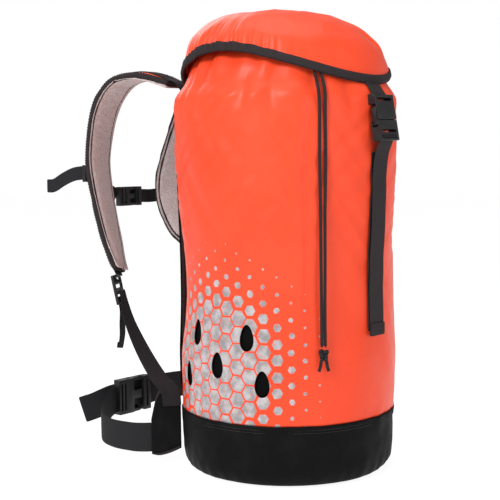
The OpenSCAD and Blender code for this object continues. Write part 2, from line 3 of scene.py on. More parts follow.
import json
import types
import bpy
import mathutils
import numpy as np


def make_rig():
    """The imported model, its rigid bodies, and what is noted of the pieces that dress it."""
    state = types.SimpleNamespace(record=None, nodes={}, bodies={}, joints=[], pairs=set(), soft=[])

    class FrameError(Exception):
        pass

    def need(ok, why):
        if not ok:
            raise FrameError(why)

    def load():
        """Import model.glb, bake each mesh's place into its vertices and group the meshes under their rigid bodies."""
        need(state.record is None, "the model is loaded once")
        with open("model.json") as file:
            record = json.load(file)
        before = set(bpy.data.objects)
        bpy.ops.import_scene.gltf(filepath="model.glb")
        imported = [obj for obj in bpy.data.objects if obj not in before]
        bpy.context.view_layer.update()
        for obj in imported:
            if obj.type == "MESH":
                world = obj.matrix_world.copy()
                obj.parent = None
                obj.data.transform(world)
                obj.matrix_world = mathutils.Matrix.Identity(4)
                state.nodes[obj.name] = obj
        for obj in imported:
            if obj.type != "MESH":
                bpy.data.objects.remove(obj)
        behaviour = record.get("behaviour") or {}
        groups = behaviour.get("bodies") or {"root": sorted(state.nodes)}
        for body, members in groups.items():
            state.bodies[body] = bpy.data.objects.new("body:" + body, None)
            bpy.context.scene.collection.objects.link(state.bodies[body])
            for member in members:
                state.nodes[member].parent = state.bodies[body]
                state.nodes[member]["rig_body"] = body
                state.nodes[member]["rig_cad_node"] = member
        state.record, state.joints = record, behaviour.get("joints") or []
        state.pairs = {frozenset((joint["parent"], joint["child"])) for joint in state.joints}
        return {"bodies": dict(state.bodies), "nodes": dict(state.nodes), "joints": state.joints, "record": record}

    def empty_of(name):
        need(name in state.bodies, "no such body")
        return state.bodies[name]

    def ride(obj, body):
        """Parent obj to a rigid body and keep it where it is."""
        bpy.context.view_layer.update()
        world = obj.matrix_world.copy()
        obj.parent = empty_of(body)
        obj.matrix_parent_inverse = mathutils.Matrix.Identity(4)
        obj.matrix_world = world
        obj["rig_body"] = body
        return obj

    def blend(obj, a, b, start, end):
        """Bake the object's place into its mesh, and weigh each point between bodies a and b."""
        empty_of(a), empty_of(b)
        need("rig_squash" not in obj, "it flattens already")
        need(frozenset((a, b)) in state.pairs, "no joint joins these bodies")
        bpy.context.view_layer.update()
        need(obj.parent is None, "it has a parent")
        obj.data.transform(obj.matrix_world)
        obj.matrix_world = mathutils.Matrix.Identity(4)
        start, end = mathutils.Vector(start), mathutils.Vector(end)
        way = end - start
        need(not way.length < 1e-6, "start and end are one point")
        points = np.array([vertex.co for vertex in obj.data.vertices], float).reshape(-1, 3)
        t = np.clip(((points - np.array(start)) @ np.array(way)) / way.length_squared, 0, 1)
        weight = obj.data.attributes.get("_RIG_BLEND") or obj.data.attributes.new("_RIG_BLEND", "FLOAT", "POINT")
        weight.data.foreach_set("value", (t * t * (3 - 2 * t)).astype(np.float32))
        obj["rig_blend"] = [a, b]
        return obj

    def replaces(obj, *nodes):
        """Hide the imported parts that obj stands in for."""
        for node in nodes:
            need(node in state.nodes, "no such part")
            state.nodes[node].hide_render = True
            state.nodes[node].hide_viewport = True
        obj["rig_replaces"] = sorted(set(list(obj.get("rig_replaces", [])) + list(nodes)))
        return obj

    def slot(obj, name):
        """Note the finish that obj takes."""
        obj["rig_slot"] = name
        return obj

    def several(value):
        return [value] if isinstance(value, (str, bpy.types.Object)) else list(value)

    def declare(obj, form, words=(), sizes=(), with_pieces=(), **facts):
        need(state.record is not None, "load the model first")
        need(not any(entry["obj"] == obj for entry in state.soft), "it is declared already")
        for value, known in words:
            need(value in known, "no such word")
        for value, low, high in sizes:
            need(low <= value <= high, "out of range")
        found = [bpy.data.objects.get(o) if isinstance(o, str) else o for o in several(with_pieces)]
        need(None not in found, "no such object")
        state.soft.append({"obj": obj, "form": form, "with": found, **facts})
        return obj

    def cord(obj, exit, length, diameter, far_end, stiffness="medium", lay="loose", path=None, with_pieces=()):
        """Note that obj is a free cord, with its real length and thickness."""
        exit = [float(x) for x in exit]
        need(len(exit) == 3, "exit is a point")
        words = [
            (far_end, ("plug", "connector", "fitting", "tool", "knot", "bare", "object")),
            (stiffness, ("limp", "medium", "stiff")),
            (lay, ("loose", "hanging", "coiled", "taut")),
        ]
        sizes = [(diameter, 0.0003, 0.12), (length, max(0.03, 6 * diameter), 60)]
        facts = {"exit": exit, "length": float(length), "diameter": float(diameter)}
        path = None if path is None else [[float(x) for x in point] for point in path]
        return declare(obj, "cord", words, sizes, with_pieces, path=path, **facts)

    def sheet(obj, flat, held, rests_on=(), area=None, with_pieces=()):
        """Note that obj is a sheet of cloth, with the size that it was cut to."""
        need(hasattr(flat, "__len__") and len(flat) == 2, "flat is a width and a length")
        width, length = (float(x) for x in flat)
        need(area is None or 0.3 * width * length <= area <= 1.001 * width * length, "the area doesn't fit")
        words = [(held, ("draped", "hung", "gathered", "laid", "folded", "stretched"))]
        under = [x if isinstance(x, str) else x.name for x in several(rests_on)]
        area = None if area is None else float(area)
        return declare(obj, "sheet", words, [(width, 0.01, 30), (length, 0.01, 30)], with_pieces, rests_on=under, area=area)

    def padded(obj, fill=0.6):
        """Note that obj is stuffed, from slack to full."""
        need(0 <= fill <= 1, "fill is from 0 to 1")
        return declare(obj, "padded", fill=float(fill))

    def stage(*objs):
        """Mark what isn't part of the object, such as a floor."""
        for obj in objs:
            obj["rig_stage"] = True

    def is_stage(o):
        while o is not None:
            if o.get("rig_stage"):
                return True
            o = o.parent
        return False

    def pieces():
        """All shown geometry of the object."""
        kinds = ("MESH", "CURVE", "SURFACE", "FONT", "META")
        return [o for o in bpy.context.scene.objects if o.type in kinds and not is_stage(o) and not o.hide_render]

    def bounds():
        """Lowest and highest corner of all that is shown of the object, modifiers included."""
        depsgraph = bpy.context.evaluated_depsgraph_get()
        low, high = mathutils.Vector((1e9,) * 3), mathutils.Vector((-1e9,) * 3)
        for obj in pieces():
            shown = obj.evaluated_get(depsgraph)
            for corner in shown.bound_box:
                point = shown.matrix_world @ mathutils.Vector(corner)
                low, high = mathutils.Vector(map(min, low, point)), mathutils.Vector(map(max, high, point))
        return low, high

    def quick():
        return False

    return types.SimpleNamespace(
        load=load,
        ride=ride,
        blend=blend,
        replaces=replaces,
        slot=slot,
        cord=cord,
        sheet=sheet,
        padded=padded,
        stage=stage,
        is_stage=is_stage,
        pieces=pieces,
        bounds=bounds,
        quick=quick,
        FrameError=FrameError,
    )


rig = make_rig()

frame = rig.load()

import json
import logging
import math
from dataclasses import dataclass, field
from enum import Enum
from functools import lru_cache
from typing import Callable, Sequence

import bmesh
import bpy
from mathutils import Matrix, Vector, noise
from mathutils.bvhtree import BVHTree

CAD_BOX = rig.bounds()
LOG = logging.getLogger("rope_bag")
MM = 0.001
MERGE = 0.02 * MM          # corners closer than this are one
WEB_STEP = 4 * MM          # length of one face along webbing and tape
STUFF_VOXEL = 4.5 * MM     # even mesh of a form before it is filled
STUFF_PRESSURE = 4.0       # air pressure inside it
STUFF_FRAMES = 20          # steps of the filling
Colour = tuple[float, float, float]
Place = Callable[[float, float], Vector]


# ---------------------------------------------------------------- small geometry tools

def mm(x: float, y: float, z: float) -> Vector:
    """A point given in millimetres, as a vector in metres."""
    return Vector((x, y, z)) * MM


def ease(value: float, low: float, high: float) -> float:
    """Smooth step from 0 at low to 1 at high.

    Args:
        value: Where to read the step.
        low: Where it starts to rise.
        high: Where it reaches 1.

    Returns:
        A share from 0 to 1.
    """
    share = min(1.0, max(0.0, (value - low) / (high - low)))
    return share * share * (3 - 2 * share)


def bump(value: float, centre: float, width: float) -> float:
    """Bell curve of height 1 round a centre."""
    return math.exp(-((value - centre) / width) ** 2)


def ripple(x: float, y: float, z: float) -> float:
    """Repeatable smooth noise from -1 to 1."""
    return noise.noise(Vector((x, y, z)))


class Route:
    """A smooth curve through a few chosen points, read by its share of length."""

    def __init__(self, points: Sequence[Vector], steps: int = 12) -> None:
        """Runs a Catmull-Rom curve through the points.

        Args:
            points: The points that the curve passes through.
            steps: How many short lines stand for one span.
        """
        last = len(points) - 1
        self.dots: list[Vector] = []
        for i in range(last):
            a, b = points[max(i - 1, 0)], points[i]
            c, d = points[i + 1], points[min(i + 2, last)]
            for k in range(steps):
                t = k / steps
                self.dots.append(0.5 * (2 * b + (c - a) * t + (2 * a - 5 * b + 4 * c - d) * t * t
                                        + (3 * b - a - 3 * c + d) * t ** 3))
        self.dots.append(points[last].copy())
        self.marks = [0.0]
        for a, b in zip(self.dots, self.dots[1:]):
            self.marks.append(self.marks[-1] + (b - a).length)
        self.length = self.marks[-1]

    def at(self, share: float) -> Vector:
        """The point at a share of the length, from 0 to 1."""
        goal = min(max(share, 0.0), 1.0) * self.length
        low, high = 0, len(self.marks) - 1
        while high - low > 1:
            middle = (low + high) // 2
            low, high = (middle, high) if self.marks[middle] <= goal else (low, middle)
        span = self.marks[high] - self.marks[low]
        return self.dots[low].lerp(self.dots[high], (goal - self.marks[low]) / span if span else 0.0)

    def tangent(self, share: float) -> Vector:
        """The direction of travel at a share of the length."""
        return (self.at(share + 0.01) - self.at(share - 0.01)).normalized()


class Band:
    """A strap's path with the directions of its width and of its thickness."""

    def __init__(self, points: Sequence[Vector], first: Vector, last: Vector | None = None) -> None:
        """Keeps the path and the width's direction at its two ends.

        Args:
            points: The points of the strap's centre line.
            first: Direction of the width at the start.
            last: Direction of the width at the end, the same as first if left out.
        """
        self.route = Route(points)
        self.first = first
        self.last = last or first

    def frame(self, share: float) -> tuple[Vector, Vector, Vector]:
        """The centre, the width's direction and the thickness's direction at a share.

        Args:
            share: Share of the length, from 0 to 1.

        Returns:
            Centre point, unit vector across, unit vector through.
        """
        along = self.route.tangent(share)
        side = self.first.lerp(self.last, share)
        side = (side - side.dot(along) * along).normalized()
        return self.route.at(share), side, along.cross(side)

    def point(self, share: float, across: float, through: float) -> Vector:
        """A point at offsets across and through the strap, in metres."""
        centre, side, normal = self.frame(share)
        return centre + across * side + through * normal

    def normal(self, share: float, across: float = 0.0) -> Vector:
        """The thickness's direction at an offset across."""
        return self.frame(share)[2]


class CurvedBand(Band):
    """A band whose width bends round the bag."""

    def __init__(self, flat: Band, radius: float) -> None:
        """Bends a flat band round the bag's axis, at a radius in metres."""
        self.route, self.first, self.last = flat.route, flat.first, flat.last
        self.radius = radius

    def point(self, share: float, across: float, through: float) -> Vector:
        """A point at offsets across, along the bend, and through it."""
        centre, side, normal = self.frame(share)
        angle = across / self.radius
        reach = self.radius + through
        return centre + side * (reach * math.sin(angle)) + normal * (reach * math.cos(angle) - self.radius)

    def normal(self, share: float, across: float = 0.0) -> Vector:
        """The thickness's direction at an offset across."""
        _, side, normal = self.frame(share)
        angle = across / self.radius
        return side * math.sin(angle) + normal * math.cos(angle)


# ---------------------------------------------------------------- shader tools

class Value:
    """A number that varies over a surface, held by the socket that gives it."""

    def __init__(self, shader: "Shader", socket: bpy.types.NodeSocket) -> None:
        """Wraps one output socket of a shader."""
        self.shader = shader
        self.socket = socket

    def _maths(self, operation: str, first: object, second: object = 0.0) -> "Value":
        """Adds a Math node to the shader.

        Args:
            operation: The node's operation.
            first: Its first value.
            second: Its second value.

        Returns:
            The node's result.
        """
        node = self.shader.node("ShaderNodeMath", {"operation": operation}, {0: first, 1: second})
        return Value(self.shader, node.outputs[0])

    def __add__(self, other: object) -> "Value":
        """Sum."""
        return self._maths("ADD", self, other)

    __radd__ = __add__

    def __mul__(self, other: object) -> "Value":
        """Product."""
        return self._maths("MULTIPLY", self, other)

    __rmul__ = __mul__

    def __sub__(self, other: object) -> "Value":
        """Difference."""
        return self._maths("SUBTRACT", self, other)

    def __rsub__(self, other: object) -> "Value":
        """Difference, the other way round."""
        return self._maths("SUBTRACT", other, self)

    def __truediv__(self, other: object) -> "Value":
        """Quotient."""
        return self._maths("DIVIDE", self, other)

    def __pow__(self, other: object) -> "Value":
        """Power."""
        return self._maths("POWER", self, other)

    def __abs__(self) -> "Value":
        """Size without sign."""
        return self._maths("ABSOLUTE", self)

    def sine(self) -> "Value":
        """Sine of the value in radians."""
        return self._maths("SINE", self)

    def floor(self) -> "Value":
        """Whole part."""
        return self._maths("FLOOR", self)

    def least(self, other: object) -> "Value":
        """The smaller of two values."""
        return self._maths("MINIMUM", self, other)

    def most(self, other: object) -> "Value":
        """The larger of two values."""
        return self._maths("MAXIMUM", self, other)

    def under(self, other: object) -> "Value":
        """1 where this value is less than the other, else 0."""
        return self._maths("LESS_THAN", self, other)

    def step(self, low: float, high: float) -> "Value":
        """Smooth step from 0 at low to 1 at high.

        Args:
            low: Where the step starts.
            high: Where it ends.

        Returns:
            The stepped value.
        """
        node = self.shader.node("ShaderNodeMapRange", {"interpolation_type": "SMOOTHSTEP"}, {
            "Value": self, "From Min": low, "From Max": high})
        return Value(self.shader, node.outputs["Result"])


class Shader:
    """One material and the nodes that make it."""

    def __init__(self, name: str) -> None:
        """Starts an empty material with its surface shader."""
        self.material = bpy.data.materials.new(name)
        self.material.use_nodes = True
        self.tree = self.material.node_tree
        self.tree.nodes.clear()
        self.surface = self.node("ShaderNodeBsdfPrincipled")
        output = self.node("ShaderNodeOutputMaterial")
        self.tree.links.new(self.surface.outputs[0], output.inputs[0])

    def node(self, kind: str, settings: dict | None = None, inputs: dict | None = None) -> bpy.types.Node:
        """Adds any node.

        Args:
            kind: The node's type.
            settings: Its settings, set first; "stops" holds a ramp's (position, colour) pairs.
            inputs: Values, Value objects or sockets for its inputs, by name or number.

        Returns:
            The new node.
        """
        node = self.tree.nodes.new(kind)
        for key, value in (settings or {}).items():
            if key == "stops":
                elements = node.color_ramp.elements
                while len(elements) < len(value):
                    elements.new(0.5)
                for element, (position, colour) in zip(elements, value):
                    element.position = position
                    element.color = (*colour, 1.0)
            else:
                setattr(node, key, value)
        for key, value in (inputs or {}).items():
            self.feed(node.inputs[key], value)
        return node

    def feed(self, socket: bpy.types.NodeSocket, value: object) -> None:
        """Sets an input socket, or links it to what gives its value."""
        source = value.socket if isinstance(value, Value) else value
        if isinstance(source, bpy.types.NodeSocket):
            self.tree.links.new(source, socket)
        elif isinstance(source, tuple) and len(source) == 3 and socket.type == "RGBA":
            socket.default_value = (*source, 1.0)
        else:
            socket.default_value = source

    def set(self, **inputs: object) -> None:
        """Sets the surface shader's inputs; spaces in their names are written as underscores."""
        for key, value in inputs.items():
            self.feed(self.surface.inputs[key.replace("_", " ")], value)

    def place(self, coordinates: str = "Object") -> tuple[Value, Value, Value]:
        """The three coordinates of a point: Object in metres, or UV in metres on a sheet."""
        source = self.node("ShaderNodeTexCoord").outputs[coordinates]
        split = self.node("ShaderNodeSeparateXYZ", None, {0: source})
        return tuple(Value(self, split.outputs[i]) for i in range(3))

    def noise(self, scale: float, detail: float = 2.0, stretch: Colour = (1, 1, 1),
              coordinates: str = "Object") -> Value:
        """Noise from 0 to 1.

        Args:
            scale: Features per metre.
            detail: Octaves.
            stretch: Scale of each axis.
            coordinates: Object or UV.

        Returns:
            The noise's value.
        """
        source = self.node("ShaderNodeTexCoord").outputs[coordinates]
        mapped = self.node("ShaderNodeMapping", None, {"Vector": source, "Scale": stretch})
        node = self.node("ShaderNodeTexNoise", None, {
            "Vector": mapped.outputs[0], "Scale": scale, "Detail": detail})
        return Value(self, node.outputs[0])

    def cells(self, scale: float) -> Value:
        """Distance within the cells of a Voronoi pattern on Object coordinates."""
        source = self.node("ShaderNodeTexCoord").outputs["Object"]
        node = self.node("ShaderNodeTexVoronoi", None, {"Vector": source, "Scale": scale})
        return Value(self, node.outputs["Distance"])

    def blend(self, share: object, first: object, second: object) -> bpy.types.NodeSocket:
        """Mixes two colours.

        Args:
            share: Share of the second colour.
            first: Colour at share 0.
            second: Colour at share 1.

        Returns:
            The mixed colour's socket.
        """
        node = self.node("ShaderNodeMix", {"data_type": "RGBA"}, {0: share, 6: first, 7: second})
        return node.outputs[2]

    def relief(self, height: Value, depth: float, strength: float = 1.0) -> None:
        """Feeds a Bump node of a depth in metres to the surface's normal."""
        node = self.node("ShaderNodeBump", None, {
            "Height": height, "Distance": depth, "Strength": strength})
        self.feed(self.surface.inputs["Normal"], node.outputs[0])

    def weave(self, pitch: float) -> Value:
        """Plain weave of crossing threads on the piece's own UV, from 0 to 1."""
        u, v, _ = self.place("UV")
        turn = 2 * math.pi / pitch
        warp, weft = (u * turn).sine(), (v * turn).sine()
        return (warp * weft) * 0.5 + 0.5


# ---------------------------------------------------------------- finishes

class Dye(Enum):
    """The colours of the cloth, cords and plastics, linear."""

    ORANGE = (0.92, 0.068, 0.020)
    ORANGE_DEEP = (0.72, 0.040, 0.012)
    ORANGE_LIT = (0.97, 0.092, 0.034)
    # the silver print's painted shade and painted highlight, mixed at random over the print
    SILVER = (0.31, 0.295, 0.305)
    SILVER_LIT = (0.56, 0.54, 0.55)
    BASE = (0.004, 0.0036, 0.004)
    BASE_WORN = (0.012, 0.011, 0.012)
    STRAP = (0.020, 0.015, 0.016)
    STRAP_LIT = (0.050, 0.040, 0.042)
    TAPE = (0.016, 0.012, 0.013)
    LINING = (0.62, 0.53, 0.52)
    # painted shade inside the lining's holes
    LINING_HOLE = (0.27, 0.22, 0.22)
    PLASTIC = (0.012, 0.0115, 0.0125)
    CORD = (0.012, 0.011, 0.012)
    CORD_LIT = (0.05, 0.045, 0.048)


@dataclass(frozen=True)
class CoatedCloth:
    """Coated orange fabric: satin, faintly woven, softly mottled, with an optional silver print that carries painted
    shade and painted highlights.
    """

    name: str = "coated_cloth"
    printed: bool = False
    thread: float = 0.9 * MM
    column: float = 17.6 * MM
    row: float = 20.3 * MM
    print_height: float = 150 * MM
    print_turn: float = 92.0
    print_radius: float = 141 * MM

    def build(self) -> bpy.types.Material:
        """Makes the material.

        Returns:
            The finished material.
        """
        shader = Shader(self.name)
        patches = shader.noise(7, 4).step(0.35, 0.72)
        grain = shader.noise(160, 3)
        colour = shader.blend(patches * 0.5, Dye.ORANGE.value, Dye.ORANGE_LIT.value)
        colour = shader.blend(grain.step(0.55, 0.9) * 0.35, colour, Dye.ORANGE_DEEP.value)
        rough = shader.noise(30, 3) * 0.16 + 0.33
        height = shader.weave(self.thread) * 0.25 + grain * 0.75
        if self.printed:
            ink = self.ink(shader)
            # painted shade and painted highlights on the print: its grey is mixed at random between a shaded and a lit
            # copy
            silver = shader.blend(shader.noise(90, 4).step(0.3, 0.7), Dye.SILVER.value, Dye.SILVER_LIT.value)
            colour = shader.blend(ink, colour, silver)
            rough = rough - ink * 0.06
            height = height + ink * 0.5
            shader.set(Metallic=ink * 0.25)
        shader.set(Base_Color=colour, Roughness=rough, Specular_IOR_Level=0.28)
        shader.relief(height, 0.12 * MM, 0.6)
        return shader.material

    def ink(self, shader: Shader) -> Value:
        """The share of print over the cloth: six-sided cells that shrink away from its middle.

        Args:
            shader: The shader that the print joins.

        Returns:
            1 on the print and 0 off it.
        """
        u, v, _ = shader.place("UV")
        wander = shader.noise(34, 2, coordinates="UV") - 0.5
        drift = shader.noise(27, 2, (1, 1.3, 1), "UV") - 0.5
        s = abs(u) - math.radians(self.print_turn) * self.print_radius + wander * (7.0 * MM)
        t = v - self.print_height + drift * (7.0 * MM)
        found = [self.cell(s, t, shift) for shift in (0.0, 1.0)]
        nearer = found[0][0].under(found[1][0])
        distance = found[0][0].least(found[1][0])
        away = found[0][1] * nearer + found[1][1] * (1 - nearer)
        fade = shader.node("ShaderNodeValToRGB", {"stops": [
            (0.0, (0.93,) * 3), (0.42, (0.92,) * 3), (0.54, (0.66,) * 3), (0.64, (0.42,) * 3),
            (0.76, (0.22,) * 3), (0.90, (0.10,) * 3), (0.97, (0.0,) * 3)]}, {0: away * (1 / 0.168)})
        size = Value(shader, fade.outputs[0]) * (self.row / 2)
        worn = shader.noise(420, 3).step(0.30, 0.38)
        return (size - distance).step(0.0, 0.5 * MM) * worn

    def cell(self, s: Value, t: Value, shift: float) -> tuple[Value, Value]:
        """Distance to the nearest cell centre of one of the two offset lattices.

        Args:
            s: Place round the bag from the print's middle.
            t: Height from the print's middle.
            shift: 0 or 1, which lattice.

        Returns:
            The six-sided distance to the centre, and the centre's distance from the middle.
        """
        wide, high = 2 * self.column, self.row
        i = (s / wide + 0.5 + shift / 2).floor() - shift / 2
        j = (t / high + 0.5 + shift / 2).floor() - shift / 2
        x, y = abs(s - i * wide), abs(t - j * high)
        six = y.most(x * math.cos(math.radians(30)) + y * 0.5)
        away = ((i * wide) ** 2 + (j * high) ** 2) ** 0.5
        return six, away


@dataclass(frozen=True)
class HeavyCloth:
    """Heavy black coated fabric, dusty and scuffed."""

    name: str = "heavy_cloth"
    base: Colour = Dye.BASE.value
    worn: Colour = Dye.BASE_WORN.value
    rough: float = 0.5

    def build(self) -> bpy.types.Material:
        """Makes the material."""
        shader = Shader(self.name)
        dust = shader.noise(24, 5).step(0.4, 0.75)
        specks = shader.noise(520, 2).step(0.55, 0.75)
        shader.set(Base_Color=shader.blend(dust * 0.6 + specks * 0.4, self.base, self.worn),
                   Roughness=shader.noise(40, 3) * 0.25 + self.rough, Specular_IOR_Level=0.09)
        shader.relief(shader.noise(900, 2) * 0.6 + shader.noise(60, 3), 0.25 * MM, 0.5)
        return shader.material


@dataclass(frozen=True)
class Webbing:
    """Woven strap: ribs across its length and a diagonal twill, on the strap's own UV."""

    name: str = "webbing"
    base: Colour = Dye.STRAP.value
    lit: Colour = Dye.STRAP_LIT.value
    rib: float = 1.5 * MM

    def build(self) -> bpy.types.Material:
        """Makes the material."""
        shader = Shader(self.name)
        u, v, _ = shader.place("UV")
        turn = 2 * math.pi / self.rib
        ribs = (v * turn).sine() * 0.5 + 0.5
        twill = ((u + v) * (turn * 0.8)).sine() * 0.5 + 0.5
        fuzz = shader.noise(700, 2)
        thread = ribs * 0.6 + twill * 0.4
        shader.set(Base_Color=shader.blend(thread * 0.45 + fuzz * 0.35, self.base, self.lit),
                   Roughness=0.82, Specular_IOR_Level=0.2)
        shader.relief(thread + fuzz * 0.4, 0.3 * MM, 0.8)
        return shader.material


@dataclass(frozen=True)
class SpacerMesh:
    """Grey lining with small round holes, painted darker inside them as shade."""

    name: str = "spacer_mesh"
    holes: float = 420.0
    base: Colour = Dye.LINING.value
    # gap is the painted shade inside the holes
    gap: Colour = Dye.LINING_HOLE.value
    contrast: float = 0.35

    def build(self) -> bpy.types.Material:
        """Makes the material."""
        shader = Shader(self.name)
        hole = 1 - shader.cells(self.holes).step(0.28, 0.5)
        tone = shader.noise(30, 3)
        colour = shader.blend(tone * 0.5, self.base, tuple(c * 1.2 for c in self.base))
        # painted shade: the holes are mixed towards the darker gap colour
        shader.set(Base_Color=shader.blend(hole * self.contrast, colour, self.gap), Roughness=0.9,
                   Specular_IOR_Level=0.2)
        shader.relief(1 - hole, 0.5 * MM, 0.7)
        return shader.material


@dataclass(frozen=True)
class Moulded:
    """Moulded black plastic with a fine spark texture and patches of painted sheen."""

    name: str = "moulded"
    colour: Colour = Dye.PLASTIC.value
    rough: float = 0.38

    def build(self) -> bpy.types.Material:
        """Makes the material."""
        shader = Shader(self.name)
        # the noise varies the roughness and also lays painted sheen: patches lightened towards a lit copy
        smear_and_sheen = shader.noise(120, 3)
        lit = tuple(c * 2.2 for c in self.colour)
        shader.set(Base_Color=shader.blend(smear_and_sheen.step(0.45, 0.8) * 0.4, self.colour, lit),
                   Roughness=smear_and_sheen * 0.2 + self.rough, Specular_IOR_Level=0.35)
        shader.relief(shader.noise(1600, 2), 0.06 * MM, 0.5)
        return shader.material


@dataclass(frozen=True)
class Braid:
    """Braided cord: crossing strands on the cord's own UV."""

    name: str = "braid"
    strand: float = 2.2 * MM
    base: Colour = Dye.CORD.value
    lit: Colour = Dye.CORD_LIT.value

    def build(self) -> bpy.types.Material:
        """Makes the material."""
        shader = Shader(self.name)
        u, v, _ = shader.place("UV")
        turn = 2 * math.pi / self.strand
        left, right = ((u + v) * turn).sine(), ((u - v) * turn).sine()
        strands = (left * right) * 0.5 + 0.5
        shader.set(Base_Color=shader.blend(strands * 0.6, self.base, self.lit), Roughness=0.75,
                   Specular_IOR_Level=0.2)
        shader.relief(strands, 0.35 * MM, 0.9)
        return shader.material


@dataclass(frozen=True)
class Metal:
    """Drawn steel wire."""

    name: str = "wire_steel"

    def build(self) -> bpy.types.Material:
        """Makes the material."""
        shader = Shader(self.name)
        shader.set(Base_Color=(0.55, 0.55, 0.56), Metallic=1.0, Roughness=shader.noise(300, 2) * 0.2 + 0.25)
        return shader.material


@dataclass(frozen=True)
class StudioPaper:
    """Matt white backdrop."""

    name: str = "studio_paper"

    def build(self) -> bpy.types.Material:
        """Makes the material."""
        shader = Shader(self.name)
        shader.set(Base_Color=(0.22, 0.22, 0.22), Roughness=1.0, Specular_IOR_Level=0.0,
                   Emission_Color=(1, 1, 1), Emission_Strength=0.91)
        return shader.material


@lru_cache(maxsize=None)
def material(finish: object) -> bpy.types.Material:
    """The one material of a finish, made the first time that it is asked for."""
    return finish.build()


CLOTH = CoatedCloth()
PRINTED_CLOTH = CoatedCloth("printed_cloth", printed=True)
BASE_CLOTH = HeavyCloth()
NET = HeavyCloth("drain_net", (0.003, 0.003, 0.003), (0.006, 0.006, 0.006), 0.8)
FOAM = HeavyCloth("foam", (0.05, 0.05, 0.05), (0.07, 0.07, 0.07), 0.8)
STRAP = Webbing()
TAPE = Webbing("binding_tape", Dye.TAPE.value, (0.05, 0.04, 0.042), 1.0 * MM)
HARNESS = Webbing("harness_webbing", (0.010, 0.0098, 0.011), (0.027, 0.026, 0.029), 1.6 * MM)
LINING = SpacerMesh()
# the back mesh's fourth colour is the painted shade in its holes
BACK_MESH = SpacerMesh("back_mesh", 300.0, (0.016, 0.015, 0.016), (0.004, 0.004, 0.004), 0.8)
PLASTIC = Moulded()
CORD = Braid()
WIRE = Metal()
THREAD = Moulded("stitching", (0.035, 0.030, 0.030), 0.6)


# ---------------------------------------------------------------- making pieces

def shape(name: str, mesh: bmesh.types.BMesh, finish: object, smooth: bool = True) -> bpy.types.Object:
    """Turns a bmesh into an object with one finish.

    Args:
        name: The piece's name.
        mesh: The bmesh, which is freed.
        finish: The finish it gets.
        smooth: Whether its faces are shaded smooth.

    Returns:
        The new object, at the origin.
    """
    data = bpy.data.meshes.new(name)
    mesh.to_mesh(data)
    mesh.free()
    data.materials.append(material(finish))
    data.polygons.foreach_set("use_smooth", [smooth] * len(data.polygons))
    piece = bpy.data.objects.new(name, data)
    bpy.context.scene.collection.objects.link(piece)
    return piece


def hand_over(piece: bpy.types.Object, body: str, slot: str, *nodes: str) -> bpy.types.Object:
    """Puts a piece on its body, names its finish's slot and hides the nodes that it stands for.

    Args:
        piece: The finished piece.
        body: The body that it rides on.
        slot: The record's material slot.
        nodes: The CAD nodes that it replaces.

    Returns:
        The piece.
    """
    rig.ride(piece, body)
    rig.slot(piece, slot)
    if nodes:
        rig.replaces(piece, *nodes)
    LOG.info("%s rides on %s, %d faces", piece.name, body, len(piece.data.polygons))
    return piece


def bend(piece: bpy.types.Object, slot: str, joint: str, still: str, moving: str, reach: Vector,
         *nodes: str) -> None:
    """Bends cloth or webbing between two bodies at the joint where it folds.

    Args:
        piece: The finished piece.
        slot: The record's material slot.
        joint: The joint at the fold.
        still: The body that it is sewn to.
        moving: The body that it swings with.
        reach: From the joint to where the piece is fully on the moving body.
        nodes: The CAD nodes that it stands for.
    """
    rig.slot(piece, slot)
    if nodes:
        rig.replaces(piece, *nodes)
    fold = Vector(next(j for j in frame["joints"] if j["name"] == joint)["pos_m"])
    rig.blend(piece, still, moving, start=fold - reach, end=fold + reach)
    LOG.info("%s bends from %s to %s", piece.name, still, moving)


def sheet(columns: int, rows: int, place: Place, size: tuple[float, float] = (1.0, 1.0),
          closed: bool = False) -> bmesh.types.BMesh:
    """Lays a grid of cloth in space.

    Args:
        columns: Faces along u.
        rows: Faces along v.
        place: Gives the point for u and v from 0 to 1.
        size: Size of the flat cloth, in metres, for its UV.
        closed: Whether edges that meet are sewn together.

    Returns:
        The shaped mesh.
    """
    mesh = bmesh.new()
    bmesh.ops.create_grid(mesh, x_segments=columns, y_segments=rows, size=0.5)
    layer = mesh.loops.layers.uv.new("UVMap")
    for face in mesh.faces:
        for loop in face.loops:
            flat = loop.vert.co
            loop[layer].uv = ((flat.x + 0.5) * size[0], (flat.y + 0.5) * size[1])
    for vert in mesh.verts:
        vert.co = place(vert.co.x + 0.5, vert.co.y + 0.5)
    if closed:
        bmesh.ops.remove_doubles(mesh, verts=mesh.verts, dist=MERGE)
    return mesh


def thicken(piece: bpy.types.Object, thickness: float, offset: float = 0.0, levels: int = 0) -> None:
    """Gives a sheet its thickness, and may round it off.

    Args:
        piece: The sheet.
        thickness: Thickness in metres.
        offset: -1 grows inwards, 0 both ways, 1 outwards.
        levels: Subdivision levels.
    """
    wall = piece.modifiers.new("thickness", "SOLIDIFY")
    wall.thickness = thickness
    wall.offset = offset
    wall.use_even_offset = False
    if levels:
        soft = piece.modifiers.new("soft", "SUBSURF")
        soft.levels = soft.render_levels = levels


def strap(name: str, band: Band, width: float, finish: object, thickness: float = 1.5 * MM,
          through: float = 0.0, start: float = 0.0, end: float = 1.0) -> bpy.types.Object:
    """Makes a webbing strap along a band.

    Args:
        name: The piece's name.
        band: Its path.
        width: Its width.
        finish: Its finish.
        thickness: Its thickness.
        through: Offset of its middle along the band's thickness.
        start: Share of the band where it starts.
        end: Share of the band where it ends.

    Returns:
        The strap.
    """
    length = band.route.length * (end - start)
    rows = max(8, int(length / WEB_STEP))

    def place(u: float, v: float) -> Vector:
        """A point on the strap's middle surface."""
        sway = 0.35 * MM * ripple(u * 1.5, v * length * 18, len(name))
        return band.point(start + (end - start) * v, (u - 0.5) * width, through + sway)

    piece = shape(name, sheet(8, rows, place, (width, length)), finish)
    thicken(piece, thickness, levels=1)
    return piece


